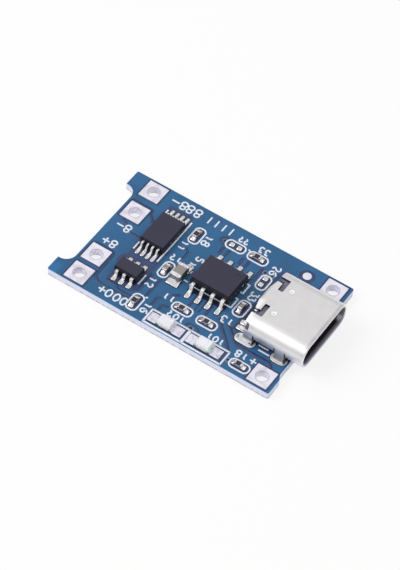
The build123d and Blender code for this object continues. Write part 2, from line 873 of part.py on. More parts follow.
def bare_lands():
    """Square lands of the empty places, each with a low mound of solder."""
    land = extrude(Rectangle(EMPTY_LAND_SIZE, EMPTY_LAND_SIZE), LAND_THICKNESS)
    side = EMPTY_LAND_SIZE - LAND_SIDE_MARGIN
    foot = Pos(0, 0, LAND_THICKNESS) * Rectangle(side, side)
    mound = extrude(foot, SOLDER_MOUND_HEIGHT, taper=SOLDER_MOUND_TAPER)
    tinned = Pos(EMPTY_LAND_SPREAD / 2, 0, 0) * (land + mound)
    return placed_all(both_ends(tinned), EMPTY_PLACES)


# Indicator lamps, made lying along X


def lamp_base():
    """The base strip between the metal ends."""
    between = LAMP_LENGTH - 2 * LAMP_CONTACT_DEPTH
    outline = Pos(0, 0, LAND_THICKNESS) * Rectangle(between, LAMP_WIDTH)
    return extrude(outline, LAMP_BASE_THICKNESS)


def lamp_contacts():
    """The metal ends, each with its half-round notch."""
    end = LAMP_LENGTH / 2
    strip = box_between(
        (end - LAMP_CONTACT_DEPTH, -LAMP_WIDTH / 2, LAND_THICKNESS),
        (end, LAMP_WIDTH / 2, LAND_THICKNESS + LAMP_BASE_THICKNESS),
    )
    notch = Pos(end, 0, LAND_THICKNESS) * Circle(LAMP_NOTCH_RADIUS)
    return both_ends(strip - extrude(notch, LAMP_BASE_THICKNESS))


def lamp_lens():
    """The milky lens, tapered on every side."""
    seat = LAND_THICKNESS + LAMP_BASE_THICKNESS
    outline = Pos(0, 0, seat) * Rectangle(LAMP_LENS_LENGTH, LAMP_WIDTH)
    return extrude(outline, LAMP_LENS_HEIGHT, taper=LAMP_LENS_DRAFT)


def lamp_solder():
    joint = solder_joint(
        inner=LAMP_CONTACT_DEPTH,
        reach=LAMP_LAND_REACH,
        width=LAMP_WIDTH,
        climb=LAMP_SOLDER_CLIMB,
    )
    return both_ends(Pos(LAMP_LENGTH / 2, 0, 0) * joint)


def lamp_place(x):
    return (x, -BOARD_WIDTH / 2 + LAMP_EDGE_INSET, 0)


# The whole module


def board_nodes():
    pads = {name: Pos(x, y) * wire_pad() for name, (x, y) in wire_pad_places().items()}
    return {"printed_circuit_board": circuit_board(), **pads, "test_pad": test_pad()}


def socket_nodes():
    return {
        "usb_shell": usb_shell(),
        "usb_insulator": usb_insulator(),
        "usb_upper_contacts": [in_socket(c) for c in contact_row(UPPER_CONTACT_ROUTES, 1)],
        "usb_lower_contacts": [in_socket(c) for c in contact_row(LOWER_CONTACT_ROUTES, -1)],
        "usb_middle_plate": in_socket(middle_plate()),
        "usb_leg_solder": usb_leg_solder(),
        "usb_tail_solder": usb_tail_solder(),
    }


def chip_nodes():
    charger = CHARGER_CHIP
    charger_body = chip_body(charger) - heat_pad(charger) - index_dimple(charger)
    pad_solder = on_board(heat_pad_solder(charger), charger.place)
    nodes = {
        "charger_chip_body": on_board(charger_body, charger.place),
        "charger_chip_leads": chip_leads(charger),
        "charger_chip_heat_pad": on_board(heat_pad(charger), charger.place),
        "charger_chip_solder": [*chip_solder(charger), pad_solder],
    }
    for name, chip in (("switch_chip", SWITCH_CHIP), ("guard_chip", GUARD_CHIP)):
        nodes[f"{name}_body"] = on_board(chip_body(chip), chip.place)
        nodes[f"{name}_leads"] = chip_leads(chip)
        nodes[f"{name}_solder"] = chip_solder(chip)
    return nodes


def small_part_nodes():
    nodes = {
        "large_capacitor_body": placed(capacitor_body(LARGE_CAPACITOR), LARGE_CAPACITOR_PLACE),
        "large_capacitor_end_caps": placed_all(
            cap_pair(LARGE_CAPACITOR, True), [LARGE_CAPACITOR_PLACE]
        ),
    }
    for number, place in enumerate(SMALL_CAPACITOR_PLACES, start=1):
        name = f"small_capacitor_{number}"
        nodes[f"{name}_body"] = placed(capacitor_body(SMALL_CAPACITOR), place)
        nodes[f"{name}_end_caps"] = placed_all(cap_pair(SMALL_CAPACITOR, True), [place])
    for number, place in enumerate(RESISTOR_PLACES, start=1):
        name = f"resistor_{number}"
        nodes[f"{name}_body"] = placed(resistor_body(RESISTOR), place)
        nodes[f"{name}_end_caps"] = placed_all(cap_pair(RESISTOR, False), [place])
    for name, x in (("full_lamp", FULL_LAMP_X), ("charging_lamp", CHARGING_LAMP_X)):
        nodes[f"{name}_base"] = placed(lamp_base(), lamp_place(x))
        nodes[f"{name}_lens"] = placed(lamp_lens(), lamp_place(x))
        nodes[f"{name}_contacts"] = placed_all(lamp_contacts(), [lamp_place(x)])
    return nodes


def solder_nodes():
    lamp_places = [lamp_place(FULL_LAMP_X), lamp_place(CHARGING_LAMP_X)]
    return {
        "resistor_solder": placed_all(capped_solder(RESISTOR), RESISTOR_PLACES),
        "capacitor_solder": [
            *placed_all(capped_solder(LARGE_CAPACITOR), [LARGE_CAPACITOR_PLACE]),
            *placed_all(capped_solder(SMALL_CAPACITOR), SMALL_CAPACITOR_PLACES),
        ],
        "lamp_solder": placed_all(lamp_solder(), lamp_places),
        "bare_lands": bare_lands(),
    }


def all_nodes():
    return {**board_nodes(), **socket_nodes(), **chip_nodes(), **small_part_nodes(), **solder_nodes()}


def main():
    os.makedirs("parts", exist_ok=True)
    for name, shape in all_nodes().items():
        pieces = shape if isinstance(shape, list) else [shape]
        solids = [solid for piece in pieces for solid in piece.solids()]
        export_step(Compound(solids), f"parts/{name}.step")


main()
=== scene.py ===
"""Looks of a charger board for a single lithium cell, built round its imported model.

Lengths in the tables below are millimetres on the board: +X towards the socket's mouth,
+Z up from the underside, the origin in the middle of the underside.
"""

import itertools
import math

import bmesh
import bpy
from bpy.props import FloatProperty, FloatVectorProperty, PointerProperty
from mathutils import Matrix, Vector


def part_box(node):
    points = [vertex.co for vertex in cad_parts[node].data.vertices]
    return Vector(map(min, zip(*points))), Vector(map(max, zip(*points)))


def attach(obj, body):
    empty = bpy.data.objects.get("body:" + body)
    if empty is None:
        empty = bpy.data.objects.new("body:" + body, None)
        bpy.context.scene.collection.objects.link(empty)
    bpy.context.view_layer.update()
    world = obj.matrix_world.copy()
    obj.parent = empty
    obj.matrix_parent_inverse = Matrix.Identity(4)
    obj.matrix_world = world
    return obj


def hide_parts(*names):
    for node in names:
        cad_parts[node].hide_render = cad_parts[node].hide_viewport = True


bl_info = {
    "name": "Charger board looks",
    "version": (1, 0, 0),
    "blender": (4, 5, 0),
    "location": "3D View > Sidebar > Charger board",
    "description": "Dresses the packed charger board and sets its studio",
    "category": "Object",
}

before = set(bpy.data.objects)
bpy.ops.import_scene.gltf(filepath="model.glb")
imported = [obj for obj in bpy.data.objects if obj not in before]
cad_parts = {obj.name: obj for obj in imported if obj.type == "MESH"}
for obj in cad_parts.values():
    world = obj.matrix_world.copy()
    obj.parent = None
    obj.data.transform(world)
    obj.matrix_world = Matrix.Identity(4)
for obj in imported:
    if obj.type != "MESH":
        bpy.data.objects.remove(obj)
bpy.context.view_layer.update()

MM = 0.001
MASK_SLOT = "blue_solder_mask"
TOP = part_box("printed_circuit_board")[1].z / MM
SHELL_LOW, SHELL_HIGH = (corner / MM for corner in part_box("usb_shell"))
SOCKET_MIDDLE_Y = (SHELL_LOW.y + SHELL_HIGH.y) / 2
SOCKET_ROUND = (SHELL_HIGH.z - TOP) / 2
SOCKET_MIDDLE_Z = TOP + SOCKET_ROUND
SOCKET_FLAT_HALF = (SHELL_HIGH.y - SHELL_LOW.y) / 2 - SOCKET_ROUND
LAND_THICKNESS = 0.05
LAND_TOP = TOP + LAND_THICKNESS
LAND_GAP = 0.06
WIDE_LAND_HALF = 0.71

WIRE_PADS = (
    "output_negative_pad",
    "cell_negative_pad",
    "cell_positive_pad",
    "output_positive_pad",
    "input_positive_pad",
    "input_negative_pad",
)
RESISTORS = tuple(f"resistor_{number}" for number in range(1, 7))
SMALL_CAPACITORS = ("small_capacitor_1", "small_capacitor_2")
LAMPS = ("full_lamp", "charging_lamp")

# Printed outlines with full-round ends: lowest and highest X, lowest and highest Y
ROUND_OUTLINES = (
    (-4.3, -2.9, 3.4, 5.9),
    (-4.35, -3.0, -2.4, 0.05),
    (-4.6, -3.15, -7.95, -5.5),
    (-0.65, 1.85, 5.2, 6.55),
    (2.15, 4.7, 5.2, 6.55),
    (5.0, 6.4, 2.35, 4.6),
    (5.0, 6.5, -2.05, 0.4),
    (-0.55, 2.0, -5.3, -3.95),
    (2.55, 5.1, -5.3, -3.95),
    (8.4, 10.9, -7.95, -6.6),
)
LAMP_OUTLINES = ((-1.9, 3.03, -8.42, -6.3), (2.95, 8.0, -8.42, -6.3))
PRINTED_LINES = (
    ((4.4, 2.32), (4.72, 2.32), (4.72, 0.95), (4.4, 0.95)),
    ((4.4, 0.02), (4.72, 0.02), (4.72, -1.38), (-0.55, -1.38)),
    ((-0.4, -0.95), (4.3, -0.95)),
    ((-8.15, 5.85), (-8.15, 5.3)),
    ((-8.15, 0.3), (-8.15, -0.85)),
    ((-5.07, 5.85), (-5.07, -0.85)),
    ((-4.98, -3.05), (-4.98, -4.6)),
    ((10.1, -4.33), (11.45, -4.33)),
    ((9.8, -3.78), (11.0, -3.78)),
    ((-1.35, -1.22), (-0.85, -1.22)),
    ((-1.3, 0.3), (-1.3, -0.1)),
    ((-3.3, -5.65), (-3.1, -5.42)),
    ((1.98, 6.38), (2.25, 6.22)),
)

# Plain numbers and signs: what is printed, the middle, the height and the turn in degrees
PRINTED_SIGNS = (
    ("88", (-5.75, 7.33), 1.08, 180),
    ("8", (-7.1, 7.33), 1.08, 180),
    ("-", (-8.15, 7.33), 0.95, 180),
    ("||||", (-2.3, 7.3), 1.0, 180),
    ("22", (0.9, 7.1), 0.66, 180),
    ("33", (3.45, 7.15), 0.74, 180),
    ("26", (5.87, 5.55), 0.86, 270),
    ("3", (5.87, 1.55), 0.84, 270),
    ("3", (5.87, 0.9), 0.84, 270),
    ("5", (-1.5, 2.05), 0.84, 270),
    ("1", (-1.75, 1.15), 0.74, 270),
    ("6", (-1.75, 0.65), 0.74, 270),
    ("11", (-4.05, 2.65), 0.8, 270),
    ("12", (-3.65, 0.68), 0.72, 180),
    ("18", (-2.3, 4.7), 0.9, 270),
    ("8", (-10.2, 1.03), 0.98, 180),
    ("-", (-11.15, 1.03), 0.85, 180),
    ("8", (-10.2, -1.65), 0.98, 180),
    ("+", (-11.15, -1.65), 0.85, 180),
    ("12", (-4.0, -3.52), 0.82, 270),
    ("00", (-5.3, -7.4), 0.96, 180),
    ("0", (-6.75, -7.4), 0.96, 180),
    ("+", (-7.65, -7.4), 0.85, 180),
    ("16", (-2.42, -6.75), 0.86, 270),
    ("11", (-1.27, -4.15), 0.8, 180),
    ("13", (5.35, -3.08), 0.84, 180),
    ("102", (0.75, -5.85), 0.74, 180),
    ("101", (5.75, -5.85), 0.74, 180),
    ("18", (9.08, -5.98), 0.82, 180),
    ("+", (10.5, -5.95), 0.78, 180),
)

# Pen strokes of the signs, in a box 1 wide and 1 high; a repeated first point closes one
STROKES = {
    "0": (
        ((0, 0.3), (0, 0.7), (0.3, 1), (0.7, 1), (1, 0.7), (1, 0.3), (0.7, 0), (0.3, 0), (0, 0.3)),
    ),
    "1": (((0.2, 0.78), (0.55, 1), (0.55, 0)),),
    "2": (((0, 0.8), (0.3, 1), (0.75, 1), (1, 0.8), (0.95, 0.55), (0, 0), (1, 0)),),
    "3": (
        ((0, 1), (0.95, 1), (0.45, 0.6), (0.8, 0.58), (1, 0.35), (0.8, 0), (0.25, 0), (0, 0.15)),
    ),
    "5": (
        ((0.95, 1), (0.1, 1), (0.05, 0.58), (0.7, 0.6), (1, 0.4), (0.8, 0), (0.25, 0), (0, 0.15)),
    ),
    "6": (
        ((0.85, 1), (0.2, 0.75), (0, 0.3), (0.3, 0), (0.75, 0), (1, 0.25), (0.8, 0.55), (0.1, 0.5)),
    ),
    "8": (
        (
            *((0.3, 0.54), (0.08, 0.68), (0.08, 0.86), (0.3, 1), (0.7, 1)),
            *((0.92, 0.86), (0.92, 0.68), (0.7, 0.54), (0.3, 0.54)),
        ),
        ((0.3, 0.54), (0, 0.38), (0, 0.16), (0.3, 0), (0.7, 0), (1, 0.16), (1, 0.38), (0.7, 0.54)),
    ),
    "|": (((0.5, 0), (0.5, 1)),),
    "+": (((0, 0.5), (1, 0.5)), ((0.5, 0), (0.5, 1))),
    "-": (((0, 0.5), (1, 0.5)),),
}

# Lines etched out of the copper: width, corner radius and the points along each
ETCHED_LINES = (
    (0.39, 0.2, ((-12.1, 4.78), (-9.5, 4.78), (-9.45, 4.25), (-8.4, 3.25))),
    (0.33, 0.1, ((-11.6, 2.0), (-10.65, 1.5))),
    (0.39, 0.1, ((-9.65, 0.75), (-8.2, 0.75))),
    (0.39, 0.6, ((-11.9, -2.5), (-9.38, -2.5), (-9.33, -6.2), (-8.8, -6.75), (-8.2, -6.8))),
    (0.26, 0.1, ((-8.2, -6.8), (-4.7, -6.8))),
    (0.33, 0.3, ((-8.15, -6.0), (-6.75, -6.0), (-6.35, -6.42), (-4.6, -6.42))),
    (0.29, 0.2, ((-3.65, 2.65), (-3.15, 2.2), (-3.1, 1.15))),
    (0.39, 0.1, ((-0.42, 5.15), (-0.42, 4.05))),
    (0.36, 0.1, ((0.35, 5.15), (0.35, 4.05))),
    (0.39, 0.1, ((2.12, 5.15), (2.12, 4.05))),
    (0.39, 0.1, ((2.9, 5.15), (2.9, 4.05))),
    (0.39, 0.3, ((4.6, 5.2), (4.6, 3.0))),
    (0.33, 0.1, ((1.0, -2.3), (1.0, -3.95))),
    (0.2, 0.1, ((1.8, -2.3), (1.8, -3.95))),
    (0.2, 0.1, ((2.26, -2.3), (2.26, -3.95))),
    (0.33, 0.1, ((3.05, -2.3), (3.05, -3.95))),
    (0.33, 0.2, ((-0.45, -3.1), (-1.0, -3.62), (-1.25, -3.62))),
    (0.33, 0.2, ((-2.3, -6.2), (-2.3, -4.9), (-1.9, -4.7))),
    (0.33, 0.2, ((-1.3, -6.2), (-1.3, -5.4), (-0.6, -5.2))),
    (0.33, 0.1, ((-3.4, -2.5), (-3.4, -5.4))),
    (0.33, 0.1, ((-4.5, -2.5), (-4.5, -5.4))),
    (0.39, 0.5, ((4.45, -3.35), (5.0, -3.8), (6.95, -5.6), (7.6, -6.3))),
    (0.39, 0.5, ((5.7, -3.6), (6.2, -3.75), (7.65, -5.05), (8.3, -5.1))),
    (0.42, 0.4, ((7.1, -4.7), (7.8, -5.15), (11.9, -5.15), (12.5, -5.6))),
    (0.33, 0.2, ((6.55, 5.9), (6.55, -1.9))),
    (0.29, 0.3, ((2.15, -6.15), (2.3, -5.75), (3.3, -5.75), (3.75, -6.15))),
)
ETCHED_AND_SHADE_FIELDS = (
    ((-8.45, 5.05), (-8.3, 6.55), (-5.35, 6.55), (-5.25, 5.05)),
    ((-8.35, 0.9), (-8.3, -1.5), (-5.3, -1.5), (-5.25, 0.9)),
    ((-8.05, -1.5), (-5.25, -1.5), (-5.25, -2.45), (-8.75, -2.45), (-8.75, -2.2)),
    ((-8.75, -2.4), (-8.75, -3.2), (-8.2, -3.4), (-8.2, -2.4)),
    ((-5.5, 0.9), (-5.5, -5.4), (-4.72, -5.4), (-4.72, 0.9)),
    ((-8.2, -4.2), (-8.2, -5.85), (-5.1, -5.85), (-4.75, -5.4), (-4.75, -4.2)),
    ((6.25, -1.95), (6.25, -3.6), (8.0, -3.6), (8.0, -1.95)),
    # The last field is painted shade under the socket's near side, in the etched colour
    ((6.95, -3.5), (6.95, -4.1), (13.6, -4.1), (13.6, -3.5)),
)

# Rings etched round holes: middle, radius and width
ETCHED_RINGS = (((9.0, 6.97), 0.675, 0.36), ((-0.85, 5.9), 0.425, 0.34))

# Width of the gap etched round each wire pad, and how far it reaches under the pad
PAD_GAP = 0.2
PAD_LAP = 0.02

# Dark bare stripes between the lamps' lands and their outlines: lowest and highest X and Y
LAMP_STRIPES = ((2.64, 2.84, -8.2, -6.48), (7.46, 7.72, -8.2, -6.48))

# Middles of the two dimples in the socket's roof
DIMPLES = ((9.95, -1.55), (9.95, 1.95))

# Small plated through holes, each closed by the mask: middle and diameter
PLUGGED_HOLES = (
    ((2.8, -6.15), 0.38),
    ((8.25, -7.3), 0.34),
    ((-0.85, 5.9), 0.3),
    ((5.1, 4.75), 0.34),
    ((5.95, 4.75), 0.34),
    ((6.65, -1.5), 0.34),
    ((4.75, -2.4), 0.2),
)

# Each leaded chip, the rounding of its leads' edges, and how far short of the toes the painted shade
# under it stops
LEADED_CHIPS = (
    ("charger_chip", 0.055, 0.45),
    ("switch_chip", 0.035, 0.14),
    ("guard_chip", 0.04, 0.28),
)

# Cut ends of the lead frame in the chips' sides: lowest and highest X, Y and Z
TIE_BARS = (
    *((x, x + 0.075, y, y + 0.3, 1.82, 1.95) for x in (4.4, -0.475) for y in (1.1, -0.3)),
    *((x, x + 0.07, y, y + 0.25, 1.57, 1.67) for x in (-5.15, -8.12) for y in (3.15, 1.5)),
)

# Oval lands of the socket's legs: middle along X and length
LEG_LANDS = ((8.3, 2.46), (12.5, 1.96))
LEG_LAND_HALF = 0.63
INNER_TAIL_END = 6.8

# Solder down a leg's slot: share of its width, height on the board, and half its width
PLUG_PROFILE = ((1.0, -TOP), (1.0, 0.02))
PLUG_HALF = 0.3

# Where a leg leaves the solder round it in painted shadow: lowest and highest X
LEG_SHADOWS = ((8.72, 9.4), (13.0, 13.4))

# Solder in a leg's land, from its middle out: share of the land's width, height on the board
DISH_PROFILE = (
    (0.05, 0.1),
    (0.34, 0.1),
    (0.46, 0.14),
    (0.56, 0.24),
    (0.66, 0.26),
    (0.74, 0.18),
    (0.8, 0.1),
    (0.86, 0.085),
    (0.91, 0.09),
    (0.98, 0.065),
    (1.0, 0.0),
)

# Rings of any other joint, from its middle out: share of its land, height if it is a fixed one
POOL_RINGS = (
    *((share, None) for share in (0.1, 0.3, 0.5, 0.68, 0.82, 0.92, 0.98)),
    (0.995, 0.8 * LAND_THICKNESS),
    (1.0, 0.0),
)

# Squareness of a joint's outline and the share of its full height, on wide lands and small ones
WIDE_POOL = (16.0, 0.36)
SMALL_POOL = (5.0, 1.0)

# Squareness of the gap round a joint, and the height within which a joint's points are level
GAP_SQUARENESS = 7
SAME_LEVEL = 0.002

# Section of a wire hole's rim: how far outside the hole, and its height on the pad
HOLE_RIM = ((-0.06, -0.02), (-0.06, 0.0), (-0.03, 0.004), (0.02, 0.003), (0.03, -0.01))

# A plugged hole 0.5 across: section of its ring, and the radius and height of its disc of painted shade
HOLE_RING = ((0.25, 0.0), (0.25, 0.022), (0.39, 0.02), (0.5, 0.0))
HOLE_DISC = (0.26, 0.012)

# How far inside a lamp's outer corners their coloured marks start and end, and their height
MARK_REACH = (0.02, 0.5)
MARK_HEIGHT = 0.008

# Printed signs: width for their height, pitch for their width, and what is added to the pitch
SIGN_WIDTH = 0.64
SIGN_PITCH = 1.34
SIGN_SPACE = 0.08

# How high each printed, etched or painted-shade layer stands above the board, and how deep fields start
# in it
ETCH_HEIGHT = 0.004
ETCH_STEP = 0.0006
LAND_FRAME_HEIGHT = 0.031
PRINT_HEIGHT = 0.036
CHIP_SHADE_HEIGHT = 0.9 * LAND_FRAME_HEIGHT
PART_SHADE_HEIGHT = 0.8 * LAND_FRAME_HEIGHT
LAMP_SHADE_HEIGHT = 0.7 * LAND_FRAME_HEIGHT
SUNK = 0.01

# How far the painted shade under small parts and lamps stands out: at its low and high X, low and high Y
PART_SHADE_MARGINS = (0.05, 0.14, 0.17, 0.05)
LAMP_SHADE_MARGINS = (0.9, 0.9, 0.14, 0.12)

# Levels that the strips of one piece take in turn, so that crossing ones don't lie in one plane
STRIP_LIFTS = (0.0, 0.0009, 0.0018, 0.0027, 0.0036)

# Points of a mesh that are nearer than this, in metres, count as one
WELD = 2e-7

# Turn from face to face up to which they are made one, and above which their edge is rounded
FLAT_DEGREES = 0.5
EASED_DEGREES = 32

# The floor's sides and level, and the camera's place and its right, up and back, in metres
FLOOR_SIDES = (-4.0, 4.0, -4.0, 4.0)
FLOOR_LEVEL = -0.02 * MM
CAMERA_PLACE = (0.0812023, -0.1425863, 0.205444)
CAMERA_AXES = (
    (0.83031469, 0.55443144, 0.05642065),
    (-0.46386614, 0.63145224, 0.62136645),
    (0.30887815, -0.54210133, 0.78148605),
)

# What the properties of one kind share
COLOUR = {"subtype": "COLOR", "min": 0, "max": 1}
LENGTH = {"subtype": "DISTANCE", "unit": "LENGTH", "precision": 6}
SHARE = {"subtype": "FACTOR", "min": 0, "max": 1}
POWER = {"subtype": "POWER", "unit": "POWER", "min": 0}


# Shader and geometry graphs


def operator_pair(operation):
    """A sum or product with the field first, and the same with the field second."""

    def forward(field, other):
        return field.graph.math(operation, field, other)

    def reflected(field, other):
        return field.graph.math(operation, other, field)

    return forward, reflected


class Field:
    """An output whose sums and products add Math nodes to its graph."""

    def __init__(self, graph, socket):
        self.graph = graph
        self.socket = socket

    __add__, __radd__ = operator_pair("ADD")
    __sub__, __rsub__ = operator_pair("SUBTRACT")
    __mul__, __rmul__ = operator_pair("MULTIPLY")

    def __abs__(self):
        return self.graph.math("ABSOLUTE", self)

    def out(self, name):
        """Another output of the same node."""
        return Field(self.graph, self.socket.node.outputs[name])


class Graph:
    """A node tree that is written as Python expressions."""

    def __init__(self, tree):
        self.tree = tree

    def node(self, kind, settings=None, inputs=None, output=0):
        """Add a node, its settings first, then the values or links of its inputs."""
        made = self.tree.nodes.new(kind)
        for name, value in (settings or {}).items():
            setattr(made, name, value)
        for name, value in (inputs or {}).items():
            if isinstance(value, Field):
                self.tree.links.new(value.socket, made.inputs[name])
            else:
                made.inputs[name].default_value = value
        return Field(self, made.outputs[output]) if len(made.outputs) else made

    def math(self, operation, *values):
        return self.node("ShaderNodeMath", {"operation": operation}, dict(enumerate(values)))

    def distance(self, along, across):
        """The length of a step from its two parts."""
        return self.math("SQRT", along * along + across * across)

    def part(self, vector, axis):
        return self.node("ShaderNodeSeparateXYZ", None, {"Vector": vector}).out(axis)

    def step(self, field, low, high):
        """From 0 to 1 as the field goes from low to high, smoothly."""
        inputs = {"Value": field, "From Min": low, "From Max": high}
        return self.node("ShaderNodeMapRange", {"interpolation_type": "SMOOTHSTEP"}, inputs)


class Finish(Graph):
    """A surface's shader, on the object's own coordinates in millimetres."""

    def __init__(self, name):
        self.material = bpy.data.materials.new(name)
        self.material.use_nodes = True
        self.material.node_tree.nodes.clear()
        super().__init__(self.material.node_tree)
        self.coordinates = self.node("ShaderNodeTexCoord").out("Object")

    def noise(self, size, detail=3.0, roughness=0.55, stretch=(1, 1, 1)):
        """Soft random grey, its spots about as wide as size in millimetres."""
        scale = tuple(axis / (size * MM) for axis in stretch)
        placed = self.node("ShaderNodeMapping", None, {"Vector": self.coordinates, "Scale": scale})
        inputs = {"Vector": placed, "Scale": 1.0, "Detail": detail, "Roughness": roughness}
        return self.node("ShaderNodeTexNoise", None, inputs)

    def place(self, axis):
        """One coordinate, in millimetres."""
        return self.part(self.coordinates, axis) * (1 / MM)

    def along(self, axis, low, high):
        """From 0 to 1 as one coordinate goes from low to high, smoothly."""
        return self.step(self.place(axis), low, high)

    def facing(self, axis):
        """How much the surface faces along an axis, from -1 to 1."""
        return self.part(self.node("ShaderNodeNewGeometry").out("Normal"), axis)

    def mix(self, factor, first, second):
        """One colour into another."""
        ends = [shade if isinstance(shade, Field) else (*shade, 1) for shade in (first, second)]
        inputs = {0: factor, 6: ends[0], 7: ends[1]}
        return self.node("ShaderNodeMix", {"data_type": "RGBA"}, inputs, output=2)

    def coats(self, shade, *coats):
        """A colour under some coats, each of them how far it covers and its own colour."""
        for cover, colour in coats:
            shade = self.mix(cover, shade, colour)
        return shade

    def bump(self, height, depth, strength):
        """A normal from a height field, its full range standing depth millimetres high."""
        inputs = {"Height": height, "Distance": depth * MM, "Strength": strength}
        return self.node("ShaderNodeBump", None, inputs)

    def done(self, **sockets):
        """Close the shader with its varying and plain socket values."""
        names = [name.replace("_", " ").title().replace("Ior", "IOR") for name in sockets]
        inputs = dict(zip(names, sockets.values()))
        return self.close(self.node("ShaderNodeBsdfPrincipled", None, inputs))

    def close(self, surface):
        self.node("ShaderNodeOutputMaterial", None, {"Surface": surface})
        return self.material


# Finishes


def scaled(colour, *shares):
    """A colour with its parts multiplied by one share, or by a share each."""
    return tuple(part * share for part, share in zip(colour, shares * (3 // len(shares))))


def mask_finish(look):
    """Blue lacquer on top and below, pale laminate at the cut edges, and a painted highlight at one
    corner.
    """
    finish = Finish("solder_mask")
    blue = look.mask_color
    deeper = scaled(blue, 0.82)
    drift = finish.step(finish.noise(5.0, 2.0), 0.35, 0.65)
    # Painted highlight: a lighter blue on the lacquer at the board's near left corner
    corner_highlight = finish.along("X", -12.6, -13.2) * finish.along("Y", -6.6, -7.6)
    painted_highlight = (corner_highlight * 0.8, scaled(blue, 0.9, 1.25, 1.3))
    lacquer = finish.coats(finish.mix(drift, deeper, blue), painted_highlight)
    height = finish.place("Z") + (finish.noise(0.8) - 0.5) * 0.08
    fibres = finish.noise(0.25, 3.0, 0.6, (0.3, 0.3, 6))
    upper = finish.mix(fibres, (0.66, 0.72, 0.93), (0.8, 0.86, 1.0))
    lower = finish.mix(fibres, (0.74, 0.7, 0.77), (0.95, 0.92, 0.97))
    band = finish.step(height, 0.08, 0.15) * finish.step(height, 0.28, 0.2)
    dots = finish.step(finish.noise(0.5), 0.4, 0.58)
    laminate = finish.coats(
        finish.mix(finish.step(height, 0.2, 0.5), lower, upper),
        (band * (dots * 0.65 + 0.2), (0.3, 0.25, 0.27)),
        (finish.step(height, 0.9, 0.97) * 0.7, deeper),
    )
    flat = finish.step(abs(finish.facing("Z")), 0.4, 0.7)
    grain = finish.noise(0.12, 4.0)
    return finish.done(
        base_color=finish.mix(flat, laminate, lacquer),
        roughness=flat * -0.3 + 0.72 + grain * 0.12,
        normal=finish.bump(grain * 0.35 + finish.noise(1.6, 2.0), 0.02, 0.35),
        ior=1.5,
    )


def etched_finish(look):
    """The mask where no copper lies under it: darker and more violet."""
    finish = Finish("etched_mask")
    cloud = finish.step(finish.noise(0.9), 0.35, 0.7)
    weave = finish.noise(0.22, 2.0, 0.5, (1, 0.35, 1))
    return finish.done(
        base_color=finish.mix(cloud, look.etched_color, scaled(look.etched_color, 1.3, 1.3, 1.2)),
        roughness=weave * 0.1 + 0.38,
        normal=finish.bump(weave, 0.01, 0.3),
    )


def print_finish(look):
    """White screen print, a little uneven."""
    finish = Finish("screen_print")
    speckle = finish.step(finish.noise(0.1), 0.3, 0.55)
    return finish.done(
        base_color=finish.mix(speckle, scaled(look.print_color, 0.74, 0.8, 0.9), look.print_color),
        roughness=0.62,
        normal=finish.bump(finish.noise(0.06, 2.0), 0.008, 0.5),
    )


def contact_finish():
    """Gilt along the tongue and tinned where the tails come out, with painted shade on the tails inside
    and under the socket.
    """
    finish = Finish("contact_metal")
    tail = finish.along("X", 8.7, 8.2)
    fine = finish.noise(0.06, 2.0)
    bloom = finish.step(finish.noise(0.3), 0.4, 0.7)
    gilt = finish.mix(bloom, (0.86, 0.74, 0.48), (0.78, 0.66, 0.42))
    tin = finish.mix(bloom, (0.95, 0.94, 0.98), (0.8, 0.79, 0.86))
    across = abs(finish.place("Y") - SOCKET_MIDDLE_Y)
    inner = finish.step(across, 2.05, 1.95) * finish.along("X", 7.4, 7.1)
    above = finish.along("Z", TOP + 0.24, TOP + 0.36)
    # Painted shade: the tails dark where they lie inside the socket or under its roof
    painted_shade = finish.math("MAXIMUM", inner, above) * tail
    tin = finish.mix(painted_shade * 0.9, tin, (0.05, 0.055, 0.09))
    return finish.done(
        base_color=finish.mix(tail, gilt, tin),
        metallic=tail * -0.35 - painted_shade * 0.4 + 1.0,
        roughness=fine * 0.1 + 0.22,
        normal=finish.bump(fine, 0.006, 0.4),
    )


def gap_and_shade_finish():
    """Near-black lacquer for the narrow gaps between lands and the mask, and for painted shade on the
    board under and beside parts; made at its first use.
    """
    if "land_gap" in bpy.data.materials:
        return bpy.data.materials["land_gap"]
    finish = Finish("land_gap")
    tone = finish.noise(0.3)
    colour = finish.mix(tone, (0.004, 0.006, 0.02), (0.014, 0.02, 0.055))
    return finish.done(base_color=colour, roughness=0.55, normal=finish.bump(tone, 0.01, 0.3))


def hole_shade_finish():
    """Painted shade: the dark inside of a small plugged hole."""
    finish = Finish("plugged_hole")
    colour = finish.mix(finish.noise(0.15), (0.006, 0.006, 0.008), (0.02, 0.018, 0.02))
    return finish.done(base_color=colour, roughness=0.5)


def tin_finish(
    name, colour, rough, lumps, depth, metallic=0.3, bloom=0.8, side=1.0, pits=0.0, flank_shade=0.0
):
    """Tin or solder: bright metal with soft lumps, a dull bloom in places, and painted shade on its
    sides.

    Lumps and depth are the lumps' width and height and pits are dark flecks; side paints shade on all
    sides, and the last share paints shade on sides that face along X.
    """
    finish = Finish(name)
    clouds = finish.step(finish.noise(lumps * 1.3), 0.42, 0.68)
    shade = finish.mix(clouds, colour, scaled(colour, bloom))
    # Painted shade: the sides darker than the top
    if side < 1:
        up = finish.step(finish.facing("Z"), 0.3, 0.75)
        shade = finish.mix(up, scaled(colour, side), shade)
    if pits:
        flecks = finish.step(finish.noise(0.22, 2.0), 0.56, 0.64)
        shade = finish.mix(flecks * pits, shade, (0.06, 0.055, 0.09))
    # Painted shade: sides that face along X painted dark
    if flank_shade:
        sideways = finish.step(abs(finish.facing("X")), 0.5, 0.9)
        shade = finish.mix(sideways * flank_shade, shade, (0.03, 0.03, 0.05))
    fine = finish.noise(0.05, 2.0)
    return finish.done(
        base_color=shade,
        metallic=metallic,
        roughness=clouds * 0.16 + fine * 0.08 + rough,
        normal=finish.bump(finish.noise(lumps, 2.0) + fine * 0.12, depth, 0.6),
    )


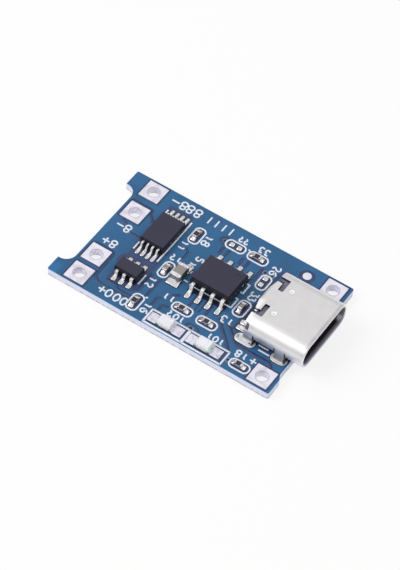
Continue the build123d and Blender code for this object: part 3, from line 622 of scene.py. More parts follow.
def solder_finish():
    """The solder of every joint, made at its first use."""
    found = bpy.data.materials.get("solder")
    return found or tin_finish("solder", (1.0, 0.98, 1.0), 0.22, 0.2, 0.035, 0.34, 0.7, pits=0.8)


def dish_finish():
    """Solder in the leg slots: bright ridges round a duller, yellowish hollow, with painted shadow where
    the legs leave it.
    """
    finish = Finish("slot_solder")
    hollow = finish.along("Z", TOP + 0.2, TOP + 0.12) * finish.along("Z", TOP + 0.075, TOP + 0.09)
    bloom = finish.step(finish.noise(0.25), 0.4, 0.7)
    bright = finish.mix(bloom, (1.0, 0.99, 1.0), (0.88, 0.87, 0.92))
    dull = finish.mix(finish.along("X", 10.2, 10.8), (0.78, 0.76, 0.78), (0.56, 0.54, 0.44))
    # Painted shadow: near black on the near side of each land, beside its leg
    shadow = sum(
        finish.along("X", low, low + 0.16) * finish.along("X", high, high - 0.1)
        for low, high in LEG_SHADOWS
    )
    near = finish.step(abs(finish.place("Y") - SOCKET_MIDDLE_Y), 4.72, 4.6)
    fine = finish.noise(0.06, 2.0)
    return finish.done(
        base_color=finish.coats(bright, (hollow, dull), (shadow * near * 0.93, (0.02, 0.018, 0.02))),
        metallic=0.35,
        roughness=fine * 0.1 + 0.24,
        normal=finish.bump(finish.noise(0.3, 2.0) + fine * 0.15, 0.02, 0.5),
    )


def steel_finish(look):
    """Plated sheet steel, satin, with painted light and shade: a bluish painted reflection low on its
    sides, painted shade inside, at its cut edges and on the roof's front edge, painted highlights in the
    mouth, round the roof's dimples and at the flap's end, and white where solder climbs the rear legs.
    """
    finish = Finish("plated_steel")
    colour = look.steel_color
    level, depth = finish.place("Z"), SHELL_HIGH.x - finish.place("X")
    across = abs(finish.place("Y") - SOCKET_MIDDLE_Y)
    cloud = finish.step(finish.noise(1.1), 0.3, 0.7)
    # Painted reflection and shade: bluish grey low on the shell's sides
    low = finish.step(level, TOP + 1.4, TOP + 0.5)
    # Painted shade: the inner walls darker
    inside = inside_shell(finish, level, across)
    # Painted shade down the mouth, and a painted highlight on its far wall
    deep, far_wall_highlight = mouth_lights(finish, inside, level, depth)
    # Painted shade: the deep mouth and the roof cuts' upright edges near black
    dark = finish.math("MAXIMUM", deep, roof_cut_edges(finish, level, across) * 0.95)
    roof = finish.step(level, TOP + 2.9, TOP + 3.0)
    # Painted shade: a darker band along the roof's rounded front edge
    lip_shade = roof * finish.step(depth, 0.04, 0.12) * finish.step(depth, 0.42, 0.3)
    # Painted highlight and shade round each roof dimple: a white ring, a grey centre and a faint grey
    # halo
    reach = dimple_reach(finish)
    # Painted highlight: white at the near side of the flap's end
    flap_highlight = roof * finish.along("X", 8.45, 8.1) * finish.along("Y", -0.3, -0.9)
    wetted = finish.step(level, TOP + 0.7, TOP + 0.5) * finish.step(across, 4.2, 4.3)
    # Painted highlights, and the white of the solder that climbs the rear legs
    bright = finish.math("MAXIMUM", flap_highlight, wetted * finish.along("X", 9.6, 9.3) * 0.85)
    white = finish.math("MAXIMUM", finish.step(reach, 0.34, 0.24), bright)
    shade = finish.coats(
        finish.mix(cloud * 0.25, colour, scaled(colour, 0.8, 0.79, 0.84)),
        (low * 0.7, (0.31, 0.33, 0.44)),
        (inside * 0.75, (0.3, 0.28, 0.35)),
        (dark, (0.016, 0.014, 0.022)),
        (far_wall_highlight * 0.9, (0.9, 0.88, 0.95)),
        (lip_shade * (cloud * 0.3 + 0.3), (0.5, 0.48, 0.56)),
        (finish.step(reach, 0.5, 0.38) * 0.12, (0.4, 0.39, 0.42)),
        (white, (1.0, 1.0, 1.0)),
        (finish.step(reach, 0.15, 0.07) * 0.6, (0.42, 0.4, 0.45)),
    )
    drawn = finish.noise(0.16, 3.0, 0.6, (0.12, 1, 1))
    sand = finish.noise(0.07)
    wear = finish.step(finish.noise(0.5, 4.0), 0.55, 0.75)
    return finish.done(
        base_color=shade,
        metallic=1.0 - inside * 0.6 - white * 0.75,
        roughness=drawn * 0.08 + sand * 0.1 + wear * 0.05 + look.steel_roughness,
        normal=finish.bump(drawn * 0.4 + sand * 0.6, 0.008, 0.35),
    )


def inside_shell(finish, level, across):
    """The inner wall of the socket's shell."""
    beyond = finish.math("MAXIMUM", across - SOCKET_FLAT_HALF, 0.0)
    reach = finish.distance(beyond, level - SOCKET_MIDDLE_Z)
    return finish.step(reach, SOCKET_ROUND - 0.23, SOCKET_ROUND - 0.29)


def mouth_lights(finish, inside, level, depth):
    """Painted shade down the mouth, lighter on its far wall as painted reflection, and a painted
    highlight on that wall.
    """
    far = finish.along("Y", SHELL_HIGH.y - 1.3, SHELL_HIGH.y - 0.7)
    glint = finish.step(finish.noise(0.35, 2.0), 0.5, 0.62)
    deep = inside * finish.step(depth, 0.12, 0.55) * (1.0 - far * (glint * 0.35 + 0.5))
    reach = finish.distance(depth - 0.4, level - TOP - 0.6)
    return deep, far * inside * finish.step(reach, 0.34, 0.16)


def roof_cut_edges(finish, level, across):
    """The upright edges of the cuts in the roof."""
    upright = finish.step(abs(finish.facing("Z")), 0.6, 0.3)
    cut = upright * finish.step(level, TOP + 2.8, TOP + 2.88)
    return cut * finish.step(across, 2.98, 2.88) * finish.along("X", 9.35, 9.25)


def dimple_reach(finish):
    """Distance from the middle of the nearer roof dimple, in millimetres."""
    reaches = [finish.distance(finish.place("X") - x, finish.place("Y") - y) for x, y in DIMPLES]
    return finish.math("MINIMUM", *reaches)


def moulded_finish(name, colour, rough, grain_size, grain_depth, fleck=0.25, side=1.0):
    """Moulded resin or plastic with a fine grain, its sides painted darker than its top as painted shade.
    """
    finish = Finish(name)
    grain = finish.noise(grain_size, 4.0, 0.65)
    cloud = finish.noise(grain_size * 9, 2.0)
    paler = tuple(min(1.0, part * (1 + 2 * fleck)) for part in colour)
    top = finish.mix(finish.step(grain, 0.35, 0.75) * 0.6 + cloud * 0.3, colour, paler)
    # Painted shade: the sides darker than the top
    up = finish.step(finish.facing("Z"), 0.25, 0.75)
    return finish.done(
        base_color=finish.mix(up, scaled(colour, side), top),
        roughness=grain * 0.14 + rough,
        normal=finish.bump(grain, grain_depth, 0.5),
    )


def ceramic_finish(name, top, side):
    """Fired ceramic with thin layer lines down the sides, its top painted paler and its sides painted in
    shade.
    """
    finish = Finish(name)
    grain = finish.noise(0.07, 4.0)
    layers = finish.noise(0.3, 2.0, 0.5, (0.15, 0.15, 8))
    # Painted light and shade: a paler colour on top, a darker one on the sides
    up = finish.step(finish.facing("Z"), 0.3, 0.8)
    specks = (finish.step(grain, 0.5, 0.8) * 0.35, scaled(top, 0.7))
    return finish.done(
        base_color=finish.coats(finish.mix(layers, side, scaled(side, 1.5)), (up, top), specks),
        roughness=grain * 0.1 + 0.5,
        normal=finish.bump(grain, 0.01, 0.4),
    )


def resistor_finish():
    """White ceramic under a dark glaze that covers the top."""
    finish = Finish("resistor_coat")
    speck = finish.noise(0.08, 4.0)
    glaze = finish.mix(finish.step(speck, 0.55, 0.75), (0.03, 0.022, 0.028), (0.085, 0.065, 0.075))
    block = finish.mix(speck, (0.42, 0.4, 0.5), (0.56, 0.54, 0.64))
    coated = finish.along("Z", TOP + 0.33, TOP + 0.36)
    return finish.done(
        base_color=finish.mix(coated, block, glaze),
        roughness=speck * 0.1 + 0.34,
        normal=finish.bump(speck, 0.008, 0.4),
    )


def lens_finish():
    """Milky resin, softly lit from within."""
    finish = Finish("milky_lens")
    cloud = finish.step(finish.noise(0.5), 0.35, 0.7)
    grain = finish.noise(0.08)
    return finish.done(
        base_color=finish.mix(cloud, (0.84, 0.83, 0.9), (0.9, 0.9, 0.93)),
        roughness=grain * 0.12 + 0.3,
        normal=finish.bump(grain, 0.006, 0.3),
        subsurface_weight=0.25,
        subsurface_scale=0.3 * MM,
        subsurface_radius=(0.6, 0.6, 0.7),
    )


# Mesh helpers


def show(name, data):
    """A new object in the scene."""
    made = bpy.data.objects.new(name, data)
    bpy.context.scene.collection.objects.link(made)
    return made


def new_piece(name, shape, finish, smooth=None):
    """An object from a shape's points, in millimetres, and its faces, turned outwards."""
    points, faces = shape
    mesh = bpy.data.meshes.new(name)
    mesh.from_pydata([Vector(point) * MM for point in points], [], faces)
    turn_outwards(mesh)
    mesh.materials.append(finish)
    if smooth is not None:
        smooth_below(mesh, smooth)
    return show(name, mesh)


def turn_outwards(mesh):
    work = bmesh.new()
    work.from_mesh(mesh)
    bmesh.ops.remove_doubles(work, verts=work.verts, dist=WELD / 2)
    bmesh.ops.recalc_face_normals(work, faces=work.faces)
    work.to_mesh(mesh)
    work.free()


def smooth_below(mesh, degrees):
    """Smooth shading, with every edge sharper than an angle kept crisp."""
    mesh.shade_smooth()
    mesh.set_sharp_from_angle(angle=math.radians(degrees))


def seat(piece, slot, *nodes):
    """The piece rides on the board, and the CAD nodes it stands for are hidden; the slot is not used."""
    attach(piece, "root")
    if nodes:
        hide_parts(*nodes)


def refinish(finish, *nodes):
    """Give some CAD nodes their material."""
    for node in nodes:
        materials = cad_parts[node].data.materials
        materials.clear()
        materials.append(finish)


def merged(node):
    """A working copy of a CAD node's loose triangles, joined up."""
    work = bmesh.new()
    work.from_mesh(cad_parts[node].data)
    bmesh.ops.remove_doubles(work, verts=work.verts, dist=WELD)
    return work


def ease_node(node, name, slot, finish, ease, steps=2, smooth=EASED_DEGREES):
    """A piece that stands for a CAD node: its copy with the sharp edges rounded."""
    work = merged(node)
    flat = math.radians(FLAT_DEGREES)
    bmesh.ops.dissolve_limit(work, angle_limit=flat, verts=work.verts, edges=work.edges, delimit=set())
    mesh = bpy.data.meshes.new(name)
    work.to_mesh(mesh)
    work.free()
    for layer in ("custom_normal", "sharp_edge", "sharp_face"):
        if layer in mesh.attributes:
            mesh.attributes.remove(mesh.attributes[layer])
    smooth_below(mesh, smooth)
    mesh.materials.append(finish)
    piece = show(name, mesh)
    rounding = piece.modifiers.new("rounded_edges", "BEVEL")
    rounding.width = ease * MM
    rounding.segments = steps
    rounding.limit_method = "ANGLE"
    rounding.angle_limit = math.radians(EASED_DEGREES)
    rounding.harden_normals = True
    seat(piece, slot, node)


def joined(shapes):
    """Several shapes as one."""
    points, faces = [], []
    for more, sides in shapes:
        start = len(points)
        points.extend(more)
        faces.extend([index + start for index in side] for side in sides)
    return points, faces


def skin(rings, looped=False):
    """A closed skin over rings of as many points each.

    Its ends are filled, or its last ring is joined to the first one.
    """
    count = len(rings[0])
    faces = []
    for level in range(len(rings) if looped else len(rings) - 1):
        lower, upper = level * count, (level + 1) % len(rings) * count
        for index in range(count):
            after = (index + 1) % count
            faces.append([lower + index, lower + after, upper + after, upper + index])
    if not looped:
        last = len(rings) * count
        faces += [list(range(count))[::-1], list(range(last - count, last))]
    return [point for ring in rings for point in ring], faces


def slab(corners, low, high):
    """A flat prism over a plan outline."""
    return skin([[(x, y, z) for x, y in corners] for z in (low, high)])


def oval(half_x, half_y, squareness=2, count=32, middle=(0, 0)):
    """Plan points of an oval, nearer to its own box the squarer it is."""
    points = []
    for index in range(count):
        turn = 2 * math.pi * index / count
        x, y = (
            half * math.copysign(abs(part) ** (2 / squareness), part)
            for half, part in ((half_x, math.cos(turn)), (half_y, math.sin(turn)))
        )
        points.append((middle[0] + x, middle[1] + y))
    return points


def turned_ring(section, count=40):
    """A ring round the upright axis through the (radius, height) points of its section."""
    rings = [
        [(x, y, height) for x, y in oval(radius, radius, count=count)] for radius, height in section
    ]
    return skin(rings, looped=True)


def plan_box(low_x, high_x, low_y, high_y, inset=0.0, cut=0.0):
    """The outline of a plan box some way inside its sides, with or without cut corners."""
    low_x, high_x, low_y, high_y = low_x + inset, high_x - inset, low_y + inset, high_y - inset
    if not cut:
        return [(low_x, low_y), (high_x, low_y), (high_x, high_y), (low_x, high_y)]
    return [
        (low_x + cut, low_y),
        (high_x - cut, low_y),
        (high_x, low_y + cut),
        (high_x, high_y - cut),
        (high_x - cut, high_y),
        (low_x + cut, high_y),
        (low_x, high_y - cut),
        (low_x, low_y + cut),
    ]


def closed(line):
    return [*line, line[0]]


def lay_fields(name, outlines, height, finish):
    """Low flat fields on the board, as one piece."""
    fields = [slab(outline, TOP - SUNK, TOP + height) for outline in outlines]
    seat(new_piece(name, joined(fields), finish), MASK_SLOT)


def corners_of(points):
    """The lowest and the highest corner of the box round some points."""
    return [Vector([pick(axis) for axis in zip(*points)]) for pick in (min, max)]


def node_box(node):
    """The lowest and the highest corner of a CAD node, in millimetres."""
    return [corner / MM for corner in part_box(node)]


def plan_round(node, margins):
    """The plan box round a CAD node, grown at its low and high X and its low and high Y."""
    (low, high), (left, right, near, far) = node_box(node), margins
    return plan_box(low.x - left, high.x + right, low.y - near, high.y + far)


def mean(points):
    return sum(points, Vector()) / len(points)


def loose_parts(node):
    """The points of each loose part of a CAD node, in millimetres."""
    work = merged(node)
    seen = set()
    parts = []
    for first in work.verts:
        if first in seen:
            continue
        seen.add(first)
        part = [first]
        for vertex in part:
            for edge in vertex.link_edges:
                other = edge.other_vert(vertex)
                if other not in seen:
                    seen.add(other)
                    part.append(other)
        parts.append([vertex.co / MM for vertex in part])
    work.free()
    return sorted(parts, key=lambda part: tuple(round(place, 3) for place in mean(part)))


# Solder


def solder_pool(points):
    """Solder that stands against a toe and falls away to the edges of its land."""
    low, high = corners_of(points)
    middle, half = (low + high) / 2, (high - low) / 2
    squareness, fullness = WIDE_POOL if half.x > WIDE_LAND_HALF else SMALL_POOL
    rise = (high.z - LAND_TOP) * fullness
    toe = mean([point for point in points if point.z > high.z - SAME_LEVEL]) - middle
    outward = mean([point for point in points if point.z > LAND_TOP + SAME_LEVEL]) - middle - toe
    outward.z = toe.z = 0
    outward = outward.normalized() if outward.length > 0.01 else Vector()
    start = toe.dot(outward)
    reach = abs(half.x * outward.x) + abs(half.y * outward.y) - start
    seed = middle.x * 7.1 + middle.y * 3.3

    def height(share, x, y):
        """How high the pool stands at one point."""
        run = max(0.0, (x * outward.x + y * outward.y - start) / reach) if reach > 0 else 0.0
        swell = 1 + 0.16 * math.sin(seed + 4 * x / half.x) * math.cos(seed + 3 * y / half.y)
        crown = (1 - share**3.4) ** 0.5 * (1 - 0.72 * run**0.8) * swell
        return LAND_TOP + rise * min(1.0, crown)

    rings = []
    for share, edge_height in POOL_RINGS:
        ring = []
        for x, y in oval(half.x * share, half.y * share, squareness):
            level = height(share, x, y) if edge_height is None else TOP + edge_height
            ring.append((middle.x + x, middle.y + y, level))
        rings.append(ring)
    return skin(rings)


def make_solder(finish, *nodes, trim=None):
    """Pools of solder in place of each CAD node's joints, each in its dark gap."""
    for node in nodes:
        parts = [part for part in loose_parts(node) if corners_of(part)[1].z > LAND_TOP + 0.02]
        if trim:
            parts = [trim(part) for part in parts]
        pools = joined([solder_pool(part) for part in parts])
        seat(new_piece(f"{node}_pools", pools, finish, 60), "solder", node)
        gaps = []
        for part in parts:
            low, high = corners_of(part)
            half = (high - low) / 2
            sides = (half.x + LAND_GAP, half.y + LAND_GAP)
            gaps.append(oval(*sides, GAP_SQUARENESS, middle=(low + high) / 2))
        lay_fields(f"{node}_gaps", gaps, LAND_FRAME_HEIGHT, gap_and_shade_finish())


def shorter_inner_tail(points):
    """The middle tails' solder ends under the socket's roof."""
    if abs(points[0].y - SOCKET_MIDDLE_Y) > 2.0:
        return points
    return [Vector((max(point.x, INNER_TAIL_END), point.y, point.z)) for point in points]


# Geometry node trees


def new_tree(name, *inputs):
    """A geometry tree's graph and its group input: a shape, some values and a material."""
    tree = bpy.data.node_groups.new(name, "GeometryNodeTree")
    for label, kind, settings in (("Geometry", "Geometry", {}), *inputs, ("Material", "Material", {})):
        socket = tree.interface.new_socket(label, in_out="INPUT", socket_type=f"NodeSocket{kind}")
        for setting, value in settings.items():
            setattr(socket, setting, value)
    tree.interface.new_socket("Geometry", in_out="OUTPUT", socket_type="NodeSocketGeometry")
    graph = Graph(tree)
    return graph, graph.node("NodeGroupInput")


def close_tree(graph, given, shape):
    """End a tree with its shape made real, in the given material."""
    shape = graph.node("GeometryNodeRealizeInstances", None, {"Geometry": shape})
    inputs = {"Geometry": shape, "Material": given.out("Material")}
    shape = graph.node("GeometryNodeSetMaterial", None, inputs)
    graph.node("NodeGroupOutput", None, {"Geometry": shape})
    return graph.tree


def drawn_line_tree():
    """Lines drawn flat on the board: each edge of a mesh becomes a low strip."""
    lengths = (("Line Width", 0.16), ("Line Height", 0.02), ("Corner Radius", 0.2))
    graph, given = new_tree(
        "drawn_line",
        *((name, "Float", {"default_value": size * MM, "subtype": "DISTANCE"}) for name, size in lengths),
        ("Corner Steps", "Int", {"default_value": 6}),
    )
    line = graph.node("GeometryNodeMeshToCurve", None, {"Mesh": given.out("Geometry")})
    inputs = {"Curve": line, "Radius": given.out("Corner Radius"), "Limit Radius": True}
    inputs["Count"] = given.out("Corner Steps")
    line = graph.node("GeometryNodeFilletCurve", {"mode": "POLY"}, inputs)
    line = graph.node("GeometryNodeSetCurveNormal", {"mode": "Z_UP"}, {"Curve": line})
    inputs = {"Width": given.out("Line Width"), "Height": given.out("Line Height")}
    section = graph.node("GeometryNodeCurvePrimitiveQuadrilateral", None, inputs)
    inputs = {"Curve": line, "Profile Curve": section, "Fill Caps": True}
    return close_tree(graph, given, graph.node("GeometryNodeCurveToMesh", None, inputs))


def repeated_tree():
    """One small piece set on every point of a mesh, each as large as its point says."""
    graph, given = new_tree(
        "repeated_piece", ("Piece", "Object", {}), ("Size", "Float", {"default_value": 1.0})
    )
    piece = graph.node("GeometryNodeObjectInfo", None, {"Object": given.out("Piece")}).out("Geometry")
    grow = graph.node("GeometryNodeInputNamedAttribute", {"data_type": "FLOAT"}, {"Name": "grow"})
    inputs = {"Vector": (1, 1, 1), "Scale": given.out("Size") * grow}
    size = graph.node("ShaderNodeVectorMath", {"operation": "SCALE"}, inputs)
    inputs = {"Points": given.out("Geometry"), "Instance": piece, "Scale": size}
    return close_tree(graph, given, graph.node("GeometryNodeInstanceOnPoints", None, inputs))


def run_tree(name, tree, mesh, values):
    """Run a tree on a guide's mesh, and keep the plain mesh that it makes."""
    guide = show(f"{name}_guide", mesh)
    modifier = guide.modifiers.new("shape", "NODES")
    modifier.node_group = tree
    keys = {item.name: item.identifier for item in tree.interface.items_tree if item.in_out == "INPUT"}
    for key, value in values.items():
        modifier[keys[key]] = value
    bpy.context.view_layer.update()
    shown = guide.evaluated_get(bpy.context.evaluated_depsgraph_get())
    result = bpy.data.meshes.new_from_object(shown)
    result.name = name
    bpy.data.objects.remove(guide)
    if not result.polygons:
        raise RuntimeError(f"{name} came out empty")
    turn_outwards(result)
    return result


def guide_mesh(name, points, edges=()):
    mesh = bpy.data.meshes.new(f"{name}_guide")
    mesh.from_pydata([Vector(point) * MM for point in points], edges, [])
    return mesh


def draw_lines(name, lines, width, height, radius, finish):
    """Flat strips along some plan lines on the board, crossing ones at their own levels."""
    points, edges = [], []
    for line, lift in zip(lines, itertools.cycle(STRIP_LIFTS)):
        looped = line[0] == line[-1]
        start, count = len(points), len(line) - looped
        points.extend((x, y, TOP + lift) for x, y in line[:count])
        edges.extend((start + index, start + index + 1) for index in range(count - 1))
        if looped:
            edges.append((start + count - 1, start))
    values = {
        "Line Width": width * MM,
        "Line Height": 2 * height * MM,
        "Corner Radius": radius * MM,
        "Material": finish,
    }
    tree = bpy.data.node_groups.get("drawn_line") or drawn_line_tree()
    seat(show(name, run_tree(name, tree, guide_mesh(name, points, edges), values)), MASK_SLOT)


def repeat(name, slot, shape, places, finish, smooth=None):
    """One small shape at many places, each of them its middle and its size."""
    piece = new_piece(f"{name}_blank", shape, finish)
    guide = guide_mesh(name, [middle for middle, _ in places])
    guide.attributes.new("grow", "FLOAT", "POINT").data.foreach_set("value", [size for _, size in places])
    tree = bpy.data.node_groups.get("repeated_piece") or repeated_tree()
    mesh = run_tree(name, tree, guide, {"Piece": piece, "Material": finish})
    bpy.data.objects.remove(piece)
    if smooth is not None:
        smooth_below(mesh, smooth)
    seat(show(name, mesh), slot)


# Pieces


def sign_strokes(text, middle, height, turn):
    """The pen lines of a plain number or sign."""
    width = height if text in "+-" else SIGN_WIDTH * height
    pitch = SIGN_PITCH * width + SIGN_SPACE
    matrix = Matrix.Translation((*middle, 0)) @ Matrix.Rotation(math.radians(turn), 4, "Z")
    lines = []
    for index, character in enumerate(text):
        shift = (index - (len(text) - 1) / 2) * pitch
        for stroke in STROKES[character]:
            points = (Vector((shift + (x - 0.5) * width, (y - 0.5) * height, 0)) for x, y in stroke)
            lines.append([tuple((matrix @ point).xy) for point in points])
    return lines


def make_board(look):
    refinish(mask_finish(look), "printed_circuit_board")
    etched = etched_finish(look)
    heights = itertools.count(ETCH_HEIGHT, ETCH_STEP)
    for number, (width, radius, line) in enumerate(ETCHED_LINES, start=1):
        draw_lines(f"etched_line_{number}", [line], width, next(heights), radius, etched)
    for number, (middle, radius, width) in enumerate(ETCHED_RINGS, start=1):
        circle = closed(oval(radius, radius, middle=middle))
        draw_lines(f"etched_ring_{number}", [circle], width, next(heights), 0, etched)
    for number, field in enumerate(ETCHED_AND_SHADE_FIELDS, start=1):
        lay_fields(f"etched_field_{number}", [field], next(heights), etched)
    beds = [plan_box(*sides, 0.12, 0.34) for sides in ROUND_OUTLINES]
    beds += [plan_box(*stripe) for stripe in LAMP_STRIPES]
    lay_fields("part_beds", beds, next(heights), etched)
    surrounds = [closed(plan_round(pad, [PAD_GAP / 2 - PAD_LAP] * 4)) for pad in WIRE_PADS]
    draw_lines("pad_surrounds", surrounds, PAD_GAP, next(heights), 0.05, etched)
    make_print(look)
    make_plugged_holes()


def make_print(look):
    white = print_finish(look)
    width = look.print_width / MM
    rounds = [closed(plan_box(*sides, width / 2, 0.3)) for sides in ROUND_OUTLINES]
    squares = [closed(plan_box(*sides, width * 0.55)) for sides in LAMP_OUTLINES]
    strokes = [line for sign in PRINTED_SIGNS for line in sign_strokes(*sign)]
    for name, lines, share, radius in (
        ("printed_outlines", rounds, 1.0, 0.36),
        ("printed_lamp_outlines", squares, 1.1, 0.02),
        ("printed_lines", PRINTED_LINES, 1.0, 0.03),
        ("printed_signs", strokes, 1.0, 0.16),
    ):
        draw_lines(name, lines, share * width, PRINT_HEIGHT, radius, white)


def make_plugged_holes():
    metal = tin_finish("plated_ring", (0.16, 0.24, 0.4), 0.3, 0.3, 0.005)
    places = [((*middle, TOP), 2 * diameter) for middle, diameter in PLUGGED_HOLES]
    repeat("hole_rings", MASK_SLOT, turned_ring(HOLE_RING, 24), places, metal, 40)
    radius, height = HOLE_DISC
    disc = slab(oval(radius, radius, count=24), 0.0, height)
    repeat("hole_shadows", MASK_SLOT, disc, places, hole_shade_finish())


def make_wire_pads(look):
    tin = tin_finish("tinned_copper", look.pad_color, 0.42, 0.9, 0.03)
    ease = look.pad_ease / MM
    for pad in WIRE_PADS:
        ease_node(pad, pad.replace("_pad", "_tinned_pad"), "tinned_copper", tin, ease, 3)
    make_hole_rims()
    ease_node("test_pad", "tinned_test_pad", "tinned_copper", tin, ease, 3)


def make_hole_rims():
    """A low dull ring round the mouth of each wire hole."""
    places = []
    for pad in WIRE_PADS:
        foot = [point for point in loose_parts(pad)[0] if point.z < 0.2]
        middle = mean(corners_of(foot))
        radius = min((point - middle).xy.length for point in foot)
        places.append(((middle.x, middle.y, node_box(pad)[1].z), 1))
    dull = tin_finish("dull_rim", (0.6, 0.58, 0.68), 0.4, 0.3, 0.005)
    rim = turned_ring([(radius + reach, height) for reach, height in HOLE_RIM])
    repeat("hole_rims", "tinned_copper", rim, places, dull, 40)


def make_socket(look):
    steel = steel_finish(look)
    ease_node("usb_shell", "stamped_shell", "plated_steel", steel, 0.03, smooth=12)
    plastic = moulded_finish("socket_plastic", (0.17, 0.155, 0.22), 0.42, 0.1, 0.01, side=0.55)
    refinish(plastic, "usb_insulator")
    refinish(contact_finish(), "usb_upper_contacts", "usb_lower_contacts")
    refinish(steel, "usb_middle_plate")
    make_solder(solder_finish(), "usb_tail_solder", trim=shorter_inner_tail)
    make_leg_solder()


def make_leg_solder():
    """Dished solder in the oval lands round the socket's four legs."""
    low, high = node_box("usb_leg_solder")
    middle_y = (low.y + high.y) / 2
    spread = (high.y - low.y) / 2 - LEG_LAND_HALF
    dishes, gaps = [], []
    for x, length in LEG_LANDS:
        straight = length / 2 - LEG_LAND_HALF
        for side in (-1, 1):
            middle = (x, middle_y + side * spread)
            dishes.append(long_oval(DISH_PROFILE, LEG_LAND_HALF, straight, middle))
            dishes.append(long_oval(PLUG_PROFILE, PLUG_HALF, straight, middle))
            edge = ((1.0, -SUNK), (1.0, LAND_FRAME_HEIGHT))
            gaps.append(long_oval(edge, LEG_LAND_HALF + LAND_GAP, straight, middle))
    piece = new_piece("leg_solder_dishes", joined(dishes), dish_finish(), smooth=50)
    seat(piece, "solder", "usb_leg_solder")
    seat(new_piece("leg_land_gaps", joined(gaps), gap_and_shade_finish()), MASK_SLOT)


def long_oval(profile, half_width, straight, middle):
    """A shape on the board of full-round rings, each a share of the width at its height."""
    rings = []
    for share, height in profile:
        ring = []
        for x, y in oval(half_width * share, half_width * share, count=40):
            shift = math.copysign(straight, x) if abs(x) > 1e-9 else 0
            ring.append((middle[0] + x + shift, middle[1] + y, TOP + height))
        rings.append(ring)
    return skin(rings)


def make_chips(look):
    resin = moulded_finish("chip_compound", look.chip_color, 0.5, 0.06, 0.014, 0.5, side=0.4)
    tin = tin_finish(
        "tinned_lead", (1.0, 0.99, 1.0), 0.2, 0.3, 0.006, 0.34, 0.85, pits=0.5, flank_shade=0.85
    )
    for chip, lead_ease, foot in LEADED_CHIPS:
        body, leads = f"{chip}_body", f"{chip}_leads"
        ease_node(body, f"{chip}_moulding", "chip_compound", resin, 0.05)
        ease_node(leads, f"{chip}_lead_rows", "tinned_lead", tin, lead_ease, 3)
        (low, high), toes = node_box(body), [corner.y for corner in node_box(leads)]
        # Painted shade: a near-black field under the chip, between its rows of leads
        shade = plan_box(low.x + 0.1, high.x - 0.1, toes[0] + foot, toes[1] - foot)
        lay_fields(f"{chip}_shade", [shade], CHIP_SHADE_HEIGHT, gap_and_shade_finish())
    make_solder(solder_finish(), *(f"{chip}_solder" for chip, _, _ in LEADED_CHIPS))
    bars = [slab(plan_box(*plan), low, high) for *plan, low, high in TIE_BARS]
    seat(new_piece("tie_bar_ends", joined(bars), solder_finish()), "tinned_lead")
    refinish(tin, "charger_chip_heat_pad")


def make_capped_parts(look):
    tin = tin_finish("cap_metal", (0.92, 0.9, 0.96), 0.24, 0.25, 0.01, 0.4, 0.62, 0.3, pits=0.6)
    parts = RESISTORS + SMALL_CAPACITORS
    # Painted shadow: near-black fields round the small parts, reaching furthest on the +X and -Y sides
    shades = [plan_round(f"{part}_end_caps", PART_SHADE_MARGINS) for part in parts]
    lay_fields("part_shades", shades, PART_SHADE_HEIGHT, gap_and_shade_finish())
    refinish(resistor_finish(), *(f"{resistor}_body" for resistor in RESISTORS))
    cap_ends(RESISTORS, tin, 0.03)
    grey = ceramic_finish("ceramic_grey", (0.29, 0.275, 0.25), (0.07, 0.06, 0.045))
    ease_node("large_capacitor_body", "large_capacitor_block", "ceramic_brown", grey, 0.06)
    cap_ends(["large_capacitor"], tin, 0.09, 3)
    tan = ceramic_finish("ceramic_brown", (0.33, 0.28, 0.255), (0.12, 0.1, 0.08))
    refinish(tan, *(f"{capacitor}_body" for capacitor in SMALL_CAPACITORS))
    cap_ends(SMALL_CAPACITORS, tin, 0.04)
    make_solder(solder_finish(), "resistor_solder", "capacitor_solder", "bare_lands")


def cap_ends(parts, tin, ease, steps=2):
    for part in parts:
        ease_node(f"{part}_end_caps", f"{part}_caps", "tinned_lead", tin, ease, steps)


def make_lamps(look):
    lens = lens_finish()
    base = moulded_finish("lamp_base_white", (0.72, 0.74, 0.72), 0.45, 0.08, 0.01, 0.1)
    for lamp in LAMPS:
        ease_node(f"{lamp}_lens", f"{lamp}_milky_lens", "milky_lens", lens, 0.12, 4)
        refinish(base, f"{lamp}_base")
        refinish(bpy.data.materials["tinned_lead"], f"{lamp}_contacts")
    land = tin_finish("lamp_land", (0.86, 0.84, 0.98), 0.3, 0.3, 0.03, bloom=0.7)
    make_solder(land, "lamp_solder")
    marks = []
    for lamp, end in zip(LAMPS, (-1, 1)):
        low, high = node_box(f"{lamp}_contacts")
        outer = high.x if end > 0 else low.x
        for edge, side in ((low.y, 1), (high.y, -1)):
            x = sorted(outer - end * reach for reach in MARK_REACH)
            y = sorted(edge + side * reach for reach in MARK_REACH)
            marks.append(slab(plan_box(*x, *y), high.z - SUNK, high.z + MARK_HEIGHT))
    # Painted shade: near-black fields round the lamps' contacts
    shades = [plan_round(f"{lamp}_contacts", LAMP_SHADE_MARGINS) for lamp in LAMPS]
    lay_fields("lamp_shades", shades, LAMP_SHADE_HEIGHT, gap_and_shade_finish())
    green = moulded_finish("pale_green_mark", (0.42, 0.78, 0.64), 0.5, 0.06, 0.008, 0.15)
    seat(new_piece("lamp_end_marks", joined(marks), green), "lamp_base_white")


# Studio


def make_stage(look):
    mesh = bpy.data.meshes.new("floor")
    mesh.from_pydata([(x, y, FLOOR_LEVEL) for x, y in plan_box(*FLOOR_SIDES)], [], [(0, 1, 2, 3)])
    mesh.materials.append(floor_finish(look))
    show("floor", mesh)
    make_world(look)
    area_lamp("key_lamp", (-0.24, -0.15, 0.28), 0.26, look.key_power)
    area_lamp("fill_lamp", (0.3, 0.12, 0.32), 0.3, look.fill_power)
    make_camera()


